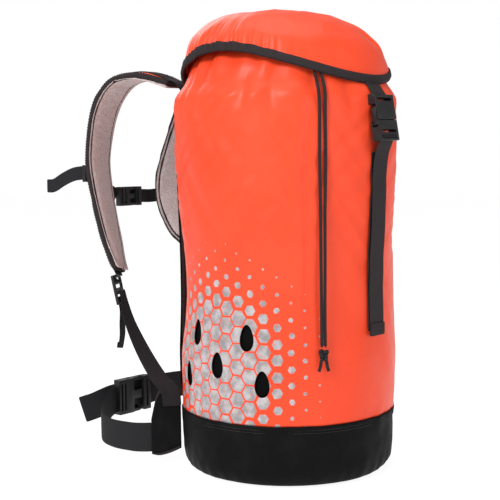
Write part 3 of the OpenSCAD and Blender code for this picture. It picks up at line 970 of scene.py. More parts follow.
def tube(mesh_sides: int, route: Route, radius: Callable[[float], float] | float,
         rings: int) -> tuple[bmesh.types.BMesh, list[Vector]]:
    """Makes a round closed-ended tube along a route.

    Args:
        mesh_sides: Faces round it.
        route: Its centre line.
        radius: Its radius, or a function of the share of its length.
        rings: Faces along it.

    Returns:
        The mesh, and the centres of its rings.
    """
    read = radius if callable(radius) else (lambda share: radius)
    guide = Vector((0.31, 0.52, 0.79))

    def place(u: float, v: float) -> Vector:
        """A point on the tube's surface."""
        along = route.tangent(v)
        side = (guide - guide.dot(along) * along).normalized()
        other = along.cross(side)
        edge = min(v, 1 - v) * rings
        close = 0.0 if edge < 0.01 else 1.0
        angle = 2 * math.pi * u
        return route.at(v) + close * read(v) * (math.cos(angle) * side + math.sin(angle) * other)

    mesh = sheet(mesh_sides, rings, place, (2 * math.pi * read(0.5), route.length), True)
    bmesh.ops.recalc_face_normals(mesh, faces=mesh.faces)
    return mesh, [route.at(i / rings) for i in range(rings + 1)]


def stitches(name: str, dots: Sequence[Vector], out: Sequence[Vector], length: float = 2.4 * MM,
             thickness: float = 0.5 * MM) -> bpy.types.Object:
    """Lays a row of short thread stitches.

    Args:
        name: The piece's name.
        dots: The middle of each stitch.
        out: Direction away from the cloth at each stitch.
        length: Length of a stitch.
        thickness: Thickness of the thread.

    Returns:
        The row of stitches.
    """
    mesh = bmesh.new()
    last = len(dots) - 1
    for i, dot in enumerate(dots):
        along = (dots[min(i + 1, last)] - dots[max(i - 1, 0)]).normalized()
        up = (out[i] - out[i].dot(along) * along).normalized()
        turn = Matrix((along.cross(up), up, along)).transposed().to_4x4()
        made = bmesh.ops.create_cone(mesh, cap_ends=True, segments=6, radius1=thickness * 0.55,
                                     radius2=thickness * 0.55, depth=length)
        bmesh.ops.transform(mesh, matrix=Matrix.Translation(dot) @ turn, verts=made["verts"])
    return shape(name, mesh, THREAD)


def refined_copy(node: str, body: str, slot: str, finish: object,
                 bevel: float = 0.7 * MM) -> bpy.types.Object:
    """Copies a moulded CAD node, merges its corners and rounds its edges.

    Args:
        node: The CAD node.
        body: The body that it rides on.
        slot: The record's material slot.
        finish: The finish that it gets.
        bevel: Width of the rounding.

    Returns:
        The new piece, which stands for the node.
    """
    mesh = bmesh.new()
    mesh.from_mesh(frame["nodes"][node].data)
    bmesh.ops.remove_doubles(mesh, verts=mesh.verts, dist=0.01 * MM)
    bmesh.ops.dissolve_limit(mesh, angle_limit=math.radians(1.5), verts=mesh.verts, edges=mesh.edges)
    piece = shape(f"{node}_moulded", mesh, finish)
    edge = piece.modifiers.new("rounding", "BEVEL")
    edge.width = bevel
    edge.segments = 3
    edge.limit_method = "ANGLE"
    edge.angle_limit = math.radians(35)
    edge.harden_normals = False
    return hand_over(piece, body, slot, node)


# ---------------------------------------------------------------- the bag

# Outlines, as pairs of height and radius in millimetres
BAG_WALL = ((78, 140), (125, 141), (157, 141), (192, 138.5), (235, 137.5), (300, 138.5), (363, 141.5),
            (427, 143), (475, 141.5), (488, 138.5), (500, 131.5), (510, 127), (522, 122), (538, 110),
            (550, 85), (554.6, 66.5))
BASE_WALL = ((0, 0), (0, 60), (0.1, 116), (0.9, 125), (3.5, 131), (9, 135), (20, 138.5), (50, 140),
             (79, 140.8))
LID_WALL = ((490, 138.5), (505, 137.8), (524, 133.5), (549, 124), (564, 111.5), (578, 94), (587, 70),
            (592.5, 38), (593.5, 0))


def turned(turn: float, radius: float, height: float) -> Vector:
    """A point round the bag's axis: turn in degrees from the front, radius and height in millimetres."""
    angle = math.radians(turn)
    return mm(radius * math.sin(angle), -radius * math.cos(angle), height)


class Side(Enum):
    """The wearer's two sides; the value is the sign of X."""

    LEFT = -1
    RIGHT = 1


@dataclass
class Profile:
    """An outline of height and radius, in millimetres, read by its share of length."""

    dots: Sequence[tuple[float, float]]
    route: Route = field(init=False)

    def __post_init__(self) -> None:
        """Runs a smooth curve through the outline."""
        self.route = Route([Vector((r, 0.0, z)) for z, r in self.dots])

    def at(self, share: float) -> tuple[float, float]:
        """Radius and height at a share of the outline's length."""
        spot = self.route.at(share)
        return spot.x, spot.z

    def share_at(self, height: float) -> float:
        """The share of the length at which the outline reaches a height."""
        low, high = 0.0, 1.0
        for _ in range(24):
            middle = (low + high) / 2
            low, high = (middle, high) if self.route.at(middle).z < height else (low, middle)
        return low

    def radius(self, height: float) -> float:
        """Radius at a height."""
        return self.route.at(self.share_at(height)).x


@dataclass
class Bag:
    """The tube of coated cloth with its gathered collar, drain holes, base cup and net."""

    around: int = 230
    up: int = 146
    seam: float = 78.0
    hole_width: float = 18.5
    hole_height: float = 33.0
    hole_reach: float = 24.0
    print_radius: float = 141.0
    holes: tuple[tuple[float, float], ...] = ((-17.5, 187), (17.5, 187), (0, 150), (-26, 131), (26, 131))
    wall: Profile = field(default_factory=lambda: Profile(BAG_WALL))
    cup: Profile = field(default_factory=lambda: Profile(BASE_WALL))

    def fold(self, turn: float, height: float) -> float:
        """How far the cloth stands out from its outline, in millimetres.

        Args:
            turn: Degrees from the front.
            height: Height in millimetres.

        Returns:
            Outward distance.
        """
        angle = math.radians(turn)
        x, y = math.sin(angle), -math.cos(angle)
        slow = (2.3 * ripple(x * 1.7, y * 1.7, height * 0.007 + 3)
                + 1.3 * ripple(x * 3.6, y * 3.6, height * 0.014))
        high = ease(height, 230, 430) * (1 - ease(height, 480, 508))
        diagonal = self.ridges(angle + height * 0.0052, height, 9) * 2.2 * (0.25 + 0.75 * high)
        diagonal += self.ridges(angle - height * 0.0085, height, 20) * 1.7 * (0.12 + 0.88 * high)
        arc = (turn + 41 + 1.2 * ripple(height * 0.012, 0, 4)) * math.radians(self.print_radius)
        window = ease(height, 110, 190) * (1 - ease(height, 440, 485))
        crease = window * (-2.4 * bump(arc, 0, 5) + 1.5 * bump(arc, -9, 7) + 1.1 * bump(arc, 10, 8))
        pucker = 1.5 * math.exp(-max(height - self.seam, 0) / 15) * ripple(turn * 0.13, height * 0.05, 5)
        waist = -6.5 * bump(height, 245, 85) * max(0.0, math.cos(math.radians(turn + 142))) ** 1.5
        swell = 3.0 * bump(height, 215, 110) * max(0.0, math.cos(math.radians(turn - 38)))
        gather = ease(height, 486, 540)
        pleats = gather * (2.6 * math.sin(angle * 22 + 2.5 * ripple(x * 2, y * 2, 1)) +
                           2.0 * ripple(x * 9, y * 9, height * 0.02))
        drawn = ease(height, 440, 492) * (1 - 0.6 * gather)
        pleats += drawn * 4.8 * (abs(math.sin(angle * 9.5 + 2.2 * ripple(x * 2.3, y * 2.3, 6))) - 0.55)
        return slow + diagonal + crease + pucker + waist + swell + pleats

    def ridges(self, twist: float, height: float, kind: float) -> float:
        """Sharp-crested slanting folds.

        Args:
            twist: Angle round the bag in radians, turned by the height for a slant.
            height: Height in millimetres.
            kind: Which set of folds.

        Returns:
            From about -1 in the valleys to 1 on the crests.
        """
        return 1 - 2.4 * abs(ripple(math.sin(twist) * 4.6, math.cos(twist) * 4.6, height * 0.0035 + kind))

    def point(self, turn: float, share: float, out: float = 0.0) -> Vector:
        """A point on the tube at a share of its outline, out millimetres proud."""
        radius, height = self.wall.at(share)
        return turned(turn, radius + out + self.fold(turn, height), height)

    def skin(self, turn: float, height: float, out: float = 0.0) -> Vector:
        """A point on the upright part of the tube, out millimetres proud."""
        return turned(turn, self.wall.radius(height) + out + self.fold(turn, height), height)

    def build(self) -> None:
        """Makes every piece of the bag's body."""
        self.tube()
        self.base()
        self.net()
        self.hem()
        self.seams()

    def tube(self) -> None:
        """The orange wall, printed, with its ten drain holes and gathered collar."""
        arc = 2 * math.pi * self.print_radius * MM

        def place(u: float, v: float) -> Vector:
            """A point on the cloth."""
            return self.point(u * 360 - 180, v)

        mesh = sheet(self.around, self.up, place, (1.0, 1.0))
        layer = mesh.loops.layers.uv.active
        for face in mesh.faces:
            for loop in face.loops:
                share = loop[layer].uv.copy()
                loop[layer].uv = ((share.x - 0.5) * arc, self.wall.at(share.y)[1] * MM)
        bmesh.ops.remove_doubles(mesh, verts=mesh.verts, dist=MERGE)
        for sign in (-1, 1):
            for turn, height in self.holes:
                self.cut_hole(mesh, sign * 90 + turn, height)
        cloth = shape("bag_cloth", mesh, PRINTED_CLOTH)
        thicken(cloth, 1.3 * MM, -1.0)
        hand_over(cloth, "bag", "orange_fabric", "bag_tube")

    def hole_edge(self, angle: float) -> tuple[float, float]:
        """The egg-shaped outline of a drain hole, narrow end up.

        Args:
            angle: Angle round the hole, 0 pointing up.

        Returns:
            Sideways and upward distance from its middle, in millimetres.
        """
        narrow = 1.02 - 0.20 * math.cos(angle)
        return self.hole_width / 2 * math.sin(angle) * narrow, self.hole_height / 2 * math.cos(angle)

    def cut_hole(self, mesh: bmesh.types.BMesh, turn: float, height: float) -> None:
        """Cuts one drain hole and draws its rim to the outline.

        Args:
            mesh: The wall's mesh.
            turn: Degrees from the front.
            height: Height in millimetres.
        """
        def local(spot: Vector) -> tuple[float, float]:
            """Sideways and upward distance from the hole's middle, in millimetres."""
            away = (math.degrees(math.atan2(spot.x, -spot.y)) - turn + 180) % 360 - 180
            return math.radians(away) * self.print_radius, spot.z / MM - height

        def depth(spot: Vector) -> float:
            """Size of the outline that passes through a point, 1 on the hole's rim."""
            across, up = local(spot)
            low, high = 0.0, 6.0
            for _ in range(18):
                size = (low + high) / 2
                tilt = max(-1.0, min(1.0, up / (size * self.hole_height / 2 + 1e-9)))
                reach = size * abs(self.hole_edge(math.acos(tilt))[0])
                inside = abs(up) <= size * self.hole_height / 2 and abs(across) <= reach
                low, high = (low, size) if inside else (size, high)
            return high

        centre = self.skin(turn, height)
        near = [f for f in mesh.faces if (f.calc_center_median() - centre).length < self.hole_reach * MM]
        edges = list({e for f in near for e in f.edges})
        bmesh.ops.subdivide_edges(mesh, edges=edges, cuts=2, use_grid_fill=True)
        near = [f for f in mesh.faces if (f.calc_center_median() - centre).length < self.hole_reach * MM]
        gone = [f for f in near if depth(f.calc_center_median()) < 1.0]
        bmesh.ops.delete(mesh, geom=gone, context="FACES")
        rim = [v for v in mesh.verts if v.is_boundary and (v.co - centre).length < self.hole_reach * MM]
        for vert in rim:
            across, up = local(vert.co)
            size = depth(vert.co)
            vert.co = self.skin(turn + math.degrees(across / size / self.print_radius), height + up / size)

    def base(self) -> None:
        """The black cup of heavy cloth, with its turned-in floor."""
        def place(u: float, v: float) -> Vector:
            """A point on the cup."""
            turn = u * 360 - 180
            radius, height = self.cup.at(v)
            angle = math.radians(turn)
            x, y = math.sin(angle), -math.cos(angle)
            full = ease(radius, 118, 136)
            dent = 1.5 * ripple(x * 2.2, y * 2.2, height * 0.02) + 0.9 * ripple(x * 7, y * 7, height * 0.06)
            dent += 0.7 * math.sin(angle * 40 + 3 * ripple(x * 3, y * 3, 0)) * bump(height, 10, 9)
            top = ease(height, 60, 79)
            out = full * (dent * (1 - top) + top * (self.fold(turn, self.seam) + 0.6))
            return turned(turn, radius + out, height)

        mesh = sheet(240, 60, place, (0.88, 0.2), True)
        cup = shape("base_cup_cloth", mesh, BASE_CLOTH)
        bmesh_fix(cup)
        thicken(cup, 1.8 * MM, -1.0)
        hand_over(cup, "bag", "base_fabric", "base_cup")

    def net(self) -> None:
        """The black net behind the drain holes."""
        def place(u: float, v: float) -> Vector:
            """A point on the net."""
            turn, height = u * 360 - 180, 108 + v * 108
            return self.skin(turn, height, -4.5)

        net = shape("drain_net_band", sheet(180, 24, place, (0.86, 0.11), True), NET)
        thicken(net, 0.6 * MM)
        hand_over(net, "bag", "drain_net", "drain_mesh")

    def hem(self) -> None:
        """The rolled hem of the collar, which holds the cord."""
        def place(u: float, v: float) -> Vector:
            """A point on the hem."""
            turn = u * 360 - 180
            angle = 2 * math.pi * v
            pleat = 1.3 * math.sin(math.radians(turn) * 22 + 2.5) + 0.8 * ripple(turn * 0.2, 0, 2)
            return turned(turn, 62 + pleat + 4.6 * math.cos(angle), 556.4 + 4.2 * math.sin(angle))

        mesh = sheet(220, 14, place, (0.4, 0.03), True)
        bmesh.ops.recalc_face_normals(mesh, faces=mesh.faces)
        hand_over(shape("collar_hem", mesh, CLOTH), "bag", "orange_fabric", "mouth_hem")

    def seams(self) -> None:
        """Stitch rows along the base seam."""
        for row, (height, out) in enumerate(((74.0, 1.1), (70.5, 1.1))):
            count = 250
            turns = [360 * i / count - 180 for i in range(count)]
            dots = [turned(t, 140.6 + self.fold(t, self.seam) * ease(height, 60, 79) + out * 0.3, height)
                    for t in turns]
            line = stitches(f"base_seam_stitches_{row + 1}", dots, [turned(t, 1, 0) for t in turns])
            hand_over(line, "bag", "base_fabric")


def bmesh_fix(piece: bpy.types.Object) -> None:
    """Merges doubles of a closed or open skin and turns its faces outwards."""
    mesh = bmesh.new()
    mesh.from_mesh(piece.data)
    bmesh.ops.remove_doubles(mesh, verts=mesh.verts, dist=MERGE)
    bmesh.ops.recalc_face_normals(mesh, faces=mesh.faces)
    mesh.to_mesh(piece.data)
    mesh.free()


# ---------------------------------------------------------------- the lid

@dataclass
class Lid:
    """The domed flap, its elastic gathers at the sides and its edge binding."""

    around: int = 420
    up: int = 90
    edge_height: float = 498.0
    arch: float = 40.0
    tape_height: float = 10.0
    outline: Profile = field(default_factory=lambda: Profile(LID_WALL))

    def edge(self, turn: float) -> float:
        """Height of the edge, which arches up at the sides."""
        return self.edge_height + self.arch * math.sin(math.radians(turn)) ** 2

    def point(self, turn: float, above: float, out: float = 0.0) -> Vector:
        """A point on the dome.

        Args:
            turn: Degrees from the front.
            above: Distance up the cloth from the edge, in millimetres.
            out: How far it stands proud.

        Returns:
            The point in metres.
        """
        angle = math.radians(turn)
        x, y = math.sin(angle), -math.cos(angle)
        start = self.outline.share_at(self.edge(turn))
        share = min(1.0, start + above / self.outline.route.length)
        radius, height = self.outline.at(share)
        side = bump(abs(turn), 88, 34)
        pull = side * math.exp(-max(above, 0) / 28) * ease(above, -2, 7)
        pleat = (2 * abs(math.sin(angle * 31 + 2.6 * ripple(x * 6, y * 6, 2))) ** 0.6 - 1.2
                 + 0.5 * ripple(turn * 0.4, 0, 8))
        gather = 3.6 * pull * pleat - 2.2 * side * math.exp(-max(above - 4, 0) / 9)
        puff = 2.6 * side * bump(above, 30, 18)
        soft = 2.6 * ripple(x * 2.1 + 5, y * 2.1, height * 0.016)
        crest = 1 - 2.2 * abs(ripple(x * radius * 0.020 + 1.5, y * radius * 0.020, height * 0.012 + 7))
        rumple = 2.7 * crest * ease(above, 8, 40)
        line = 0.91 * x * radius + 0.41 * y * radius + 5
        groove = (ease(height, 522, 560) * (2.8 * bump(line, 8, 6) - 3.4 * bump(line, 0, 5))
                  * ease(-y * radius, -30, 20))
        fan = 5.0 * side * math.exp(-max(above, 0) / 60) * ripple(turn * 0.16, above * 0.012, 3)
        swing = radius / 138
        sag = -0.6 * (1 - swing) * (1 + ripple(x * 3, y * 3, 6))
        wave = 1.1 * pull * math.sin(angle * 31 + 1.0)
        spread = out + (gather + puff + fan) * min(1.0, swing * 1.4) + soft * swing + rumple * swing
        rise = (groove + sag * 2 + rumple * (1 - swing) * 1.6 + soft * (1 - swing) * 0.8 + wave
                + out * (1 - swing))
        lean = -0.062 * radius * math.cos(angle - math.radians(38)) * ease(height, 515, 575)
        return turned(turn, max(radius + spread * min(1.0, radius / 20), 0), height + rise + lean)

    def build(self) -> None:
        """Makes the lid's cloth, its binding and the stitches of the binding."""
        length = self.outline.route.length

        def reach(turn: float) -> float:
            """Length of cloth from the edge to the top."""
            return length * (1 - self.outline.share_at(self.edge(turn)))

        reaches = {i: reach(i * 360 / self.around - 180) for i in range(self.around + 1)}

        def place(u: float, v: float) -> Vector:
            """A point on the cloth."""
            return self.point(u * 360 - 180, reaches[round(u * self.around)] * v)

        mesh = sheet(self.around, self.up, place, (0.86, 0.19), True)
        cloth = shape("lid_cloth", mesh, CLOTH)
        area = sum(p.area for p in cloth.data.polygons)
        thicken(cloth, 1.3 * MM, -1.0)
        self.ride(cloth, "orange_fabric", "lid_shell", "lid_back")
        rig.sheet(cloth, flat=(math.sqrt(area), math.sqrt(area)), held="gathered",
                 rests_on=["bag_cloth"], area=area)
        tape = shape("lid_tape", sheet(self.around, 8, self.tape_place, (0.86, 0.024), True), TAPE)
        thicken(tape, 1.0 * MM, 0.0, 0)
        self.ride(tape, "binding", "lid_binding", "lid_back_binding")
        count = 270
        turns = [360 * i / count - 180 for i in range(count)]
        dots = [self.point(t, 8.0, 1.9) for t in turns]
        line = stitches("lid_tape_stitches", dots, [turned(t, 1, 0.2) for t in turns], 2.2 * MM, 0.45 * MM)
        self.ride(line, "binding")

    def tape_place(self, u: float, v: float) -> Vector:
        """A point on the binding, which runs from outside, under the edge, to the inside."""
        turn = u * 360 - 180
        if v < 0.45:
            return self.point(turn, self.tape_height * (1 - v / 0.45), 1.1 + 0.5 * bump(v, 0.2, 0.2))
        if v > 0.60:
            return self.point(turn, self.tape_height * (v - 0.6) / 0.4, -2.6)
        share = (v - 0.45) / 0.15
        low = self.point(turn, 0, 1.1 - 3.7 * share)
        return low - Vector((0, 0, 1.3 * MM * math.sin(math.pi * share)))

    def ride(self, piece: bpy.types.Object, slot: str, *nodes: str) -> None:
        """Bends a piece of the lid's cloth between the bag and the lid at the fold line."""
        bend(piece, slot, "lid_hinge", "bag", "lid", mm(0, -10.6, 10.6), *nodes)


# ---------------------------------------------------------------- front closure

@dataclass
class FrontClosure:
    """The strap down the front, its side-release buckle and the hanging tail."""

    bag: Bag
    width: float = 30.0
    tail_end: float = 184.0
    anchor: float = 190.0

    def build(self) -> None:
        """Makes the straps and rounds off the buckle."""
        across = Vector((1, 0, 0))
        width = self.width * MM
        under = [self.bag.skin(0, z, 1.3) for z in range(int(self.anchor), 405, 20)]
        band = Band(under + [self.bag.skin(0, 413, 1.3)], across)
        hand_over(strap("front_strap_web", band, width, STRAP), "bag", "webbing", "front_strap")
        hanging = [self.bag.skin(0, z, 4.0 + 0.8 * bump(z, 300, 60))
                   for z in range(int(self.tail_end), 400, 20)]
        band = Band(hanging + [mm(0, -152.5, 410), mm(0, -158, 424), mm(0, -160.2, 432)], across)
        hand_over(strap("front_tail_web", band, width, STRAP), "front_plug", "webbing", "front_tail")
        hem = Band([self.bag.skin(0, self.tail_end + up, 5.9) for up in (0, 8, 16)], across)
        hand_over(strap("front_tail_hem", hem, width, STRAP), "front_plug", "webbing")
        self.hem_stitches()
        wrap = refined_copy("strap_wrap", "front_plug", "webbing", STRAP, 0.5 * MM)
        LOG.info("%s holds the tail on its bar", wrap.name)
        band = Band([mm(0, -134.4, 514), mm(0, -135.0, 507), mm(0, -137.6, 499), mm(0, -142.6, 491.5),
                     mm(0, -147.6, 484.5), mm(0, -151.0, 478)], across)
        hand_over(strap("lid_web_strap", band, width, STRAP), "lid", "webbing", "lid_web")
        refined_copy("lid_socket", "lid", "buckle_plastic", PLASTIC)
        refined_copy("lid_plug", "front_plug", "buckle_plastic", PLASTIC)
        for side in ("left", "right"):
            refined_copy(f"lid_arm_{side}", f"front_arm_{side}", "buckle_plastic", PLASTIC, 0.5 * MM)

    def hem_stitches(self) -> None:
        """Two rows of stitches across the tail's folded hem."""
        for row, height in enumerate((self.tail_end + 4, self.tail_end + 12)):
            dots = [self.bag.skin(0, height, 6.8) + mm(x, 0, 0) for x in range(-13, 14, 2)]
            line = stitches(f"front_hem_stitches_{row + 1}", dots, [Vector((0, -1, 0))] * len(dots),
                            1.6 * MM, 0.5 * MM)
            hand_over(line, "front_plug", "webbing")


# ---------------------------------------------------------------- drawcord

@dataclass
class Drawcord:
    """Two hanging strands of the collar's cord, tied in a knot."""

    turn: float = -34.0
    gap: float = 4.0
    thickness: float = 4.0
    knot_height: float = 169.0
    path: tuple[tuple[float, float], ...] = (
        (91, 561), (99, 557.5), (107, 550), (115, 541), (122.5, 531), (129, 518), (134, 507.5), (140, 499),
        (145.5, 490), (148.5, 478), (149, 460), (149, 400), (149, 340), (149, 280), (149, 220), (149, 177))

    def build(self) -> None:
        """Makes the knot and the two strands."""
        knot = self.knot()
        angle = math.radians(self.turn)
        sideways = Vector((math.cos(angle), math.sin(angle), 0))
        for side in Side:
            name = f"drawcord_strand_{side.name.lower()}"
            dots = [turned(self.turn, r, z) + side.value * self.spread(z) * MM * sideways
                    for r, z in self.path]
            dots = [d + sideways * (0.9 * MM * ripple(d.z * 14, side.value * 3, 1))
                    * ease(0.5 - d.z, 0.0, 0.05) for d in dots]
            route = Route(dots)
            mesh, centres = tube(12, route, self.thickness / 2 * MM, 150)
            strand = shape(name, mesh, CORD)
            hand_over(strand, "bag", "cord", f"drawcord_{side.name.lower()}")
            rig.cord(strand, exit=dots[0], length=route.length, diameter=self.thickness * MM, far_end="knot",
                    stiffness="limp", lay="hanging", path=centres,
                    with_pieces=[knot] if side is Side.LEFT else [])

    def spread(self, height: float) -> float:
        """Distance of a strand from the middle, which closes towards the knot."""
        return self.gap * (0.52 + 0.48 * ease(height, 200, 500))

    def knot(self) -> bpy.types.Object:
        """The overhand knot with its two cut ends.

        Returns:
            The knot.
        """
        middle = turned(self.turn, 150, self.knot_height)
        out = turned(self.turn, 1, 0).normalized()
        side = Vector((-out.y, out.x, 0))
        up = Vector((0, 0, 1))
        loops = []
        for i in range(64):
            t = 2 * math.pi * i / 64
            across = 1.75 * (math.sin(t) + 2 * math.sin(2 * t))
            rise = 2.0 * (math.cos(t) - 2 * math.cos(2 * t))
            loops.append(middle + MM * (across * side + rise * up - 2.6 * math.sin(3 * t) * out))
        mesh, _ = tube(12, Route(loops + [loops[0]], 3), 2.1 * MM, 120)
        knot = shape("drawcord_knot_tied", mesh, CORD)
        ends = []
        for sign in (-1, 1):
            line = [middle + sign * away * MM * side - drop * MM * up
                    for away, drop in ((2, 3), (3.5, 9), (4.5, 15), (6.5, 21))]
            piece_mesh, _ = tube(12, Route(line), lambda s: (2.0 + 0.4 * ease(s, 0.85, 1.0)) * MM, 24)
            ends.append(shape(f"drawcord_end_{'left' if sign < 0 else 'right'}", piece_mesh, CORD))
        hand_over(knot, "bag", "cord", "drawcord_knot")
        for end in ends:
            hand_over(end, "bag", "cord")
        return knot


# ---------------------------------------------------------------- stuffing and wrapping

def bake_in(piece: bpy.types.Object) -> None:
    """Applies a piece's modifiers as they stand at the current frame."""
    graph = bpy.context.evaluated_depsgraph_get()
    data = bpy.data.meshes.new_from_object(piece.evaluated_get(graph))
    piece.modifiers.clear()
    piece.data = data


def relax(mesh: bmesh.types.BMesh, factor: float) -> None:
    """Evens out a mesh by moving each corner towards its neighbours."""
    bmesh.ops.smooth_vert(mesh, verts=mesh.verts, factor=factor, use_axis_x=True, use_axis_y=True,
                          use_axis_z=True)


def stuff(piece: bpy.types.Object, cap: float) -> None:
    """Fills a closed cloth form by a short cloth simulation and rounds it with one subdivision.

    Args:
        piece: The closed form, a little smaller than it should end.
        cap: The most that any point may move.
    """
    even = piece.modifiers.new("even", "REMESH")
    even.mode = "VOXEL"
    even.voxel_size = STUFF_VOXEL
    even.use_smooth_shade = True
    bake_in(piece)
    start = [v.co.copy() for v in piece.data.vertices]
    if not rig.quick():
        cloth = piece.modifiers.new("cloth", "CLOTH")
        cloth.settings.quality = 4
        cloth.settings.use_pressure = True
        cloth.settings.uniform_pressure_force = STUFF_PRESSURE
        cloth.settings.effector_weights.gravity = 0
        cloth.point_cache.frame_start, cloth.point_cache.frame_end = 1, STUFF_FRAMES
        for step in range(1, STUFF_FRAMES + 1):
            bpy.context.scene.frame_set(step)
        bake_in(piece)
        bpy.context.scene.frame_set(1)
        for vert, rest in zip(piece.data.vertices, start):
            move = vert.co - rest
            if move.length > cap:
                vert.co = rest + move * (cap / move.length)
    mesh = bmesh.new()
    mesh.from_mesh(piece.data)
    relax(mesh, 0.5)
    mesh.to_mesh(piece.data)
    mesh.free()
    soft = piece.modifiers.new("soft", "SUBSURF")
    soft.levels = soft.render_levels = 1
    bake_in(piece)


def skin_of(piece: bpy.types.Object) -> BVHTree:
    """A tree of the piece's faces, for laying tape and webbing on it."""
    return BVHTree.FromObject(piece, bpy.context.evaluated_depsgraph_get())


@dataclass
class Pad:
    """A stuffed pad along a band, with a lining, a taped edge and stitches."""

    name: str
    band: Band
    width: float
    thick: float
    round_end: float = 0.16
    narrow: tuple[float, float] = (0.62, 0.66)
    tape_reach: float = 8.5 * MM
    swell: float = 1.7 * MM
    skin: BVHTree | None = None

    def half(self, share: float) -> float:
        """Half of the width at a share of the length."""
        first = self.narrow[0] + (1 - self.narrow[0]) * ease(share, 0, self.round_end)
        last = self.narrow[1] + (1 - self.narrow[1]) * ease(1 - share, 0, self.round_end)
        edge = min(share, 1 - share) * self.band.route.length
        corner = 1 - 0.22 * (1 - ease(edge, 0, 9 * MM))
        return self.width / 2 * min(first, last) * corner

    def fill(self, finish: object) -> bpy.types.Object:
        """Makes the stuffed form itself.

        Args:
            finish: Its outer cloth.

        Returns:
            The pad.
        """
        length = self.band.route.length

        def place(u: float, v: float) -> Vector:
            """A point on the closed form, u going once round its section."""
            angle = 2 * math.pi * u
            across, through = math.cos(angle), math.sin(angle)
            edge = min(v, 1 - v) * length
            full = 0.25 + 0.75 * ease(edge, 0, 10 * MM)
            shut = 0.0 if edge < 0.01 * MM else 1.0
            wide = math.copysign(abs(across) ** 0.45, across)
            deep = math.copysign(abs(through) ** 0.55, through) * full
            return self.band.point(v, self.half(v) * wide * (0.96 if shut else 0.9),
                                   shut * self.thick / 2 * deep)

        mesh = sheet(48, int(length / (5 * MM)), place, (1, 1), True)
        bmesh.ops.recalc_face_normals(mesh, faces=mesh.faces)
        pad = shape(self.name, mesh, finish)
        stuff(pad, cap=self.swell)
        self.skin = skin_of(pad)
        return pad

    def on_skin(self, share: float, across: float, side: float, proud: float) -> Vector:
        """A point on the pad's surface.

        Args:
            share: Share of the length.
            across: Offset across, in metres.
            side: -1 for the outer face, 1 for the lined face.
            proud: How far it stands off the surface.

        Returns:
            The point.
        """
        normal = self.band.normal(share, across)
        high = self.band.point(share, across, side * 3 * self.thick)
        hit, _, _, _ = self.skin.ray_cast(high, -side * normal)
        flat = self.band.point(share, across, side * self.thick / 2)
        return (hit or flat) + side * proud * normal

    def outline(self, count: int) -> list[tuple[float, float, Vector]]:
        """The way round the pad's edge.

        Args:
            count: Points along one side.

        Returns:
            Share, offset across and inward direction of each point, closed.
        """
        ends = 14
        way: list[tuple[float, float, Vector]] = []
        for i in range(count):
            v = i / count
            way.append((v, self.half(v), -self.band.frame(v)[1]))
        way += [(1.0, self.half(1) * (1 - 2 * i / ends), -self.band.route.tangent(1)) for i in range(ends)]
        for i in range(count):
            v = 1 - i / count
            way.append((v, -self.half(v), self.band.frame(v)[1]))
        way += [(0.0, -self.half(0) * (1 - 2 * i / ends), self.band.route.tangent(0)) for i in range(ends)]
        inward = [w[2] for w in way]
        for _ in range(6):
            inward = [(inward[i - 1] + inward[i] * 2 + inward[(i + 1) % len(way)]).normalized()
                      for i in range(len(way))]
        return [(v, a, d) for (v, a, _), d in zip(way, inward)]

    def tape(self, finish: object, face: float = -1) -> tuple[bpy.types.Object, bpy.types.Object]:
        """Wraps a tape round the edge and stitches it down.

        Args:
            finish: The tape's finish.
            face: The face that the stitches are on, as for on_skin.

        Returns:
            The tape and its stitches.
        """
        way = self.outline(int(self.band.route.length / WEB_STEP))
        count = len(way)

        def spot(i: int, over: float, proud: float) -> Vector:
            """A point wrapped round the edge; over runs from -1 on the outer face to 1 on the lined face."""
            share, across, inward = way[i % count]
            normal = self.band.normal(share, across)
            base = self.band.point(share, across, 0.0)
            aim = base + inward * (self.tape_reach * abs(over) ** 1.3 - 1.5 * MM)
            aim += normal * (math.copysign(min(1.0, abs(over) * 2.2), over) * self.thick)
            near, facing, _, _ = self.skin.find_nearest(aim)
            away = (aim - near).normalized() if (aim - near).length > 0.1 * MM else facing
            return near + away * proud

        def place(u: float, v: float) -> Vector:
            """A point on the tape."""
            return spot(round(u * count), 2 * v - 1, 0.7 * MM)

        mesh = sheet(count, 10, place, (count * WEB_STEP, 0.022), True)
        relax(mesh, 0.4)
        bmesh.ops.recalc_face_normals(mesh, faces=mesh.faces)
        band = shape(f"{self.name}_tape", mesh, finish)
        thicken(band, 1.0 * MM, 0.0, 1)
        dots, out = [], []
        for i in range(count):
            dot = spot(i, 0.82 * face, 1.5 * MM)
            dots.append(dot)
            out.append(dot - spot(i, 0.82 * face, 0.0))
        return band, stitches(f"{self.name}_stitches", dots, out, 2.2 * MM, 0.5 * MM)

    def cover_sheet(self, name: str, finish: object, side: float) -> bpy.types.Object:
        """Lays a thin sheet over one face of the pad, under its tape.

        Args:
            name: The sheet's name.
            finish: The sheet's finish.
            side: -1 for the outer face, 1 for the lined face.

        Returns:
            The sheet.
        """
        def place(u: float, v: float) -> Vector:
            """A point on the sheet."""
            share = 0.012 + 0.976 * v
            return self.on_skin(share, (2 * u - 1) * (self.half(share) - 2.5 * MM), side, 0.45 * MM)

        mesh = sheet(16, int(self.band.route.length / (5 * MM)), place, (self.width, self.band.route.length))
        piece = shape(name, mesh, finish)
        thicken(piece, 0.7 * MM, 0.0, 1)
        return piece


# ---------------------------------------------------------------- the harness

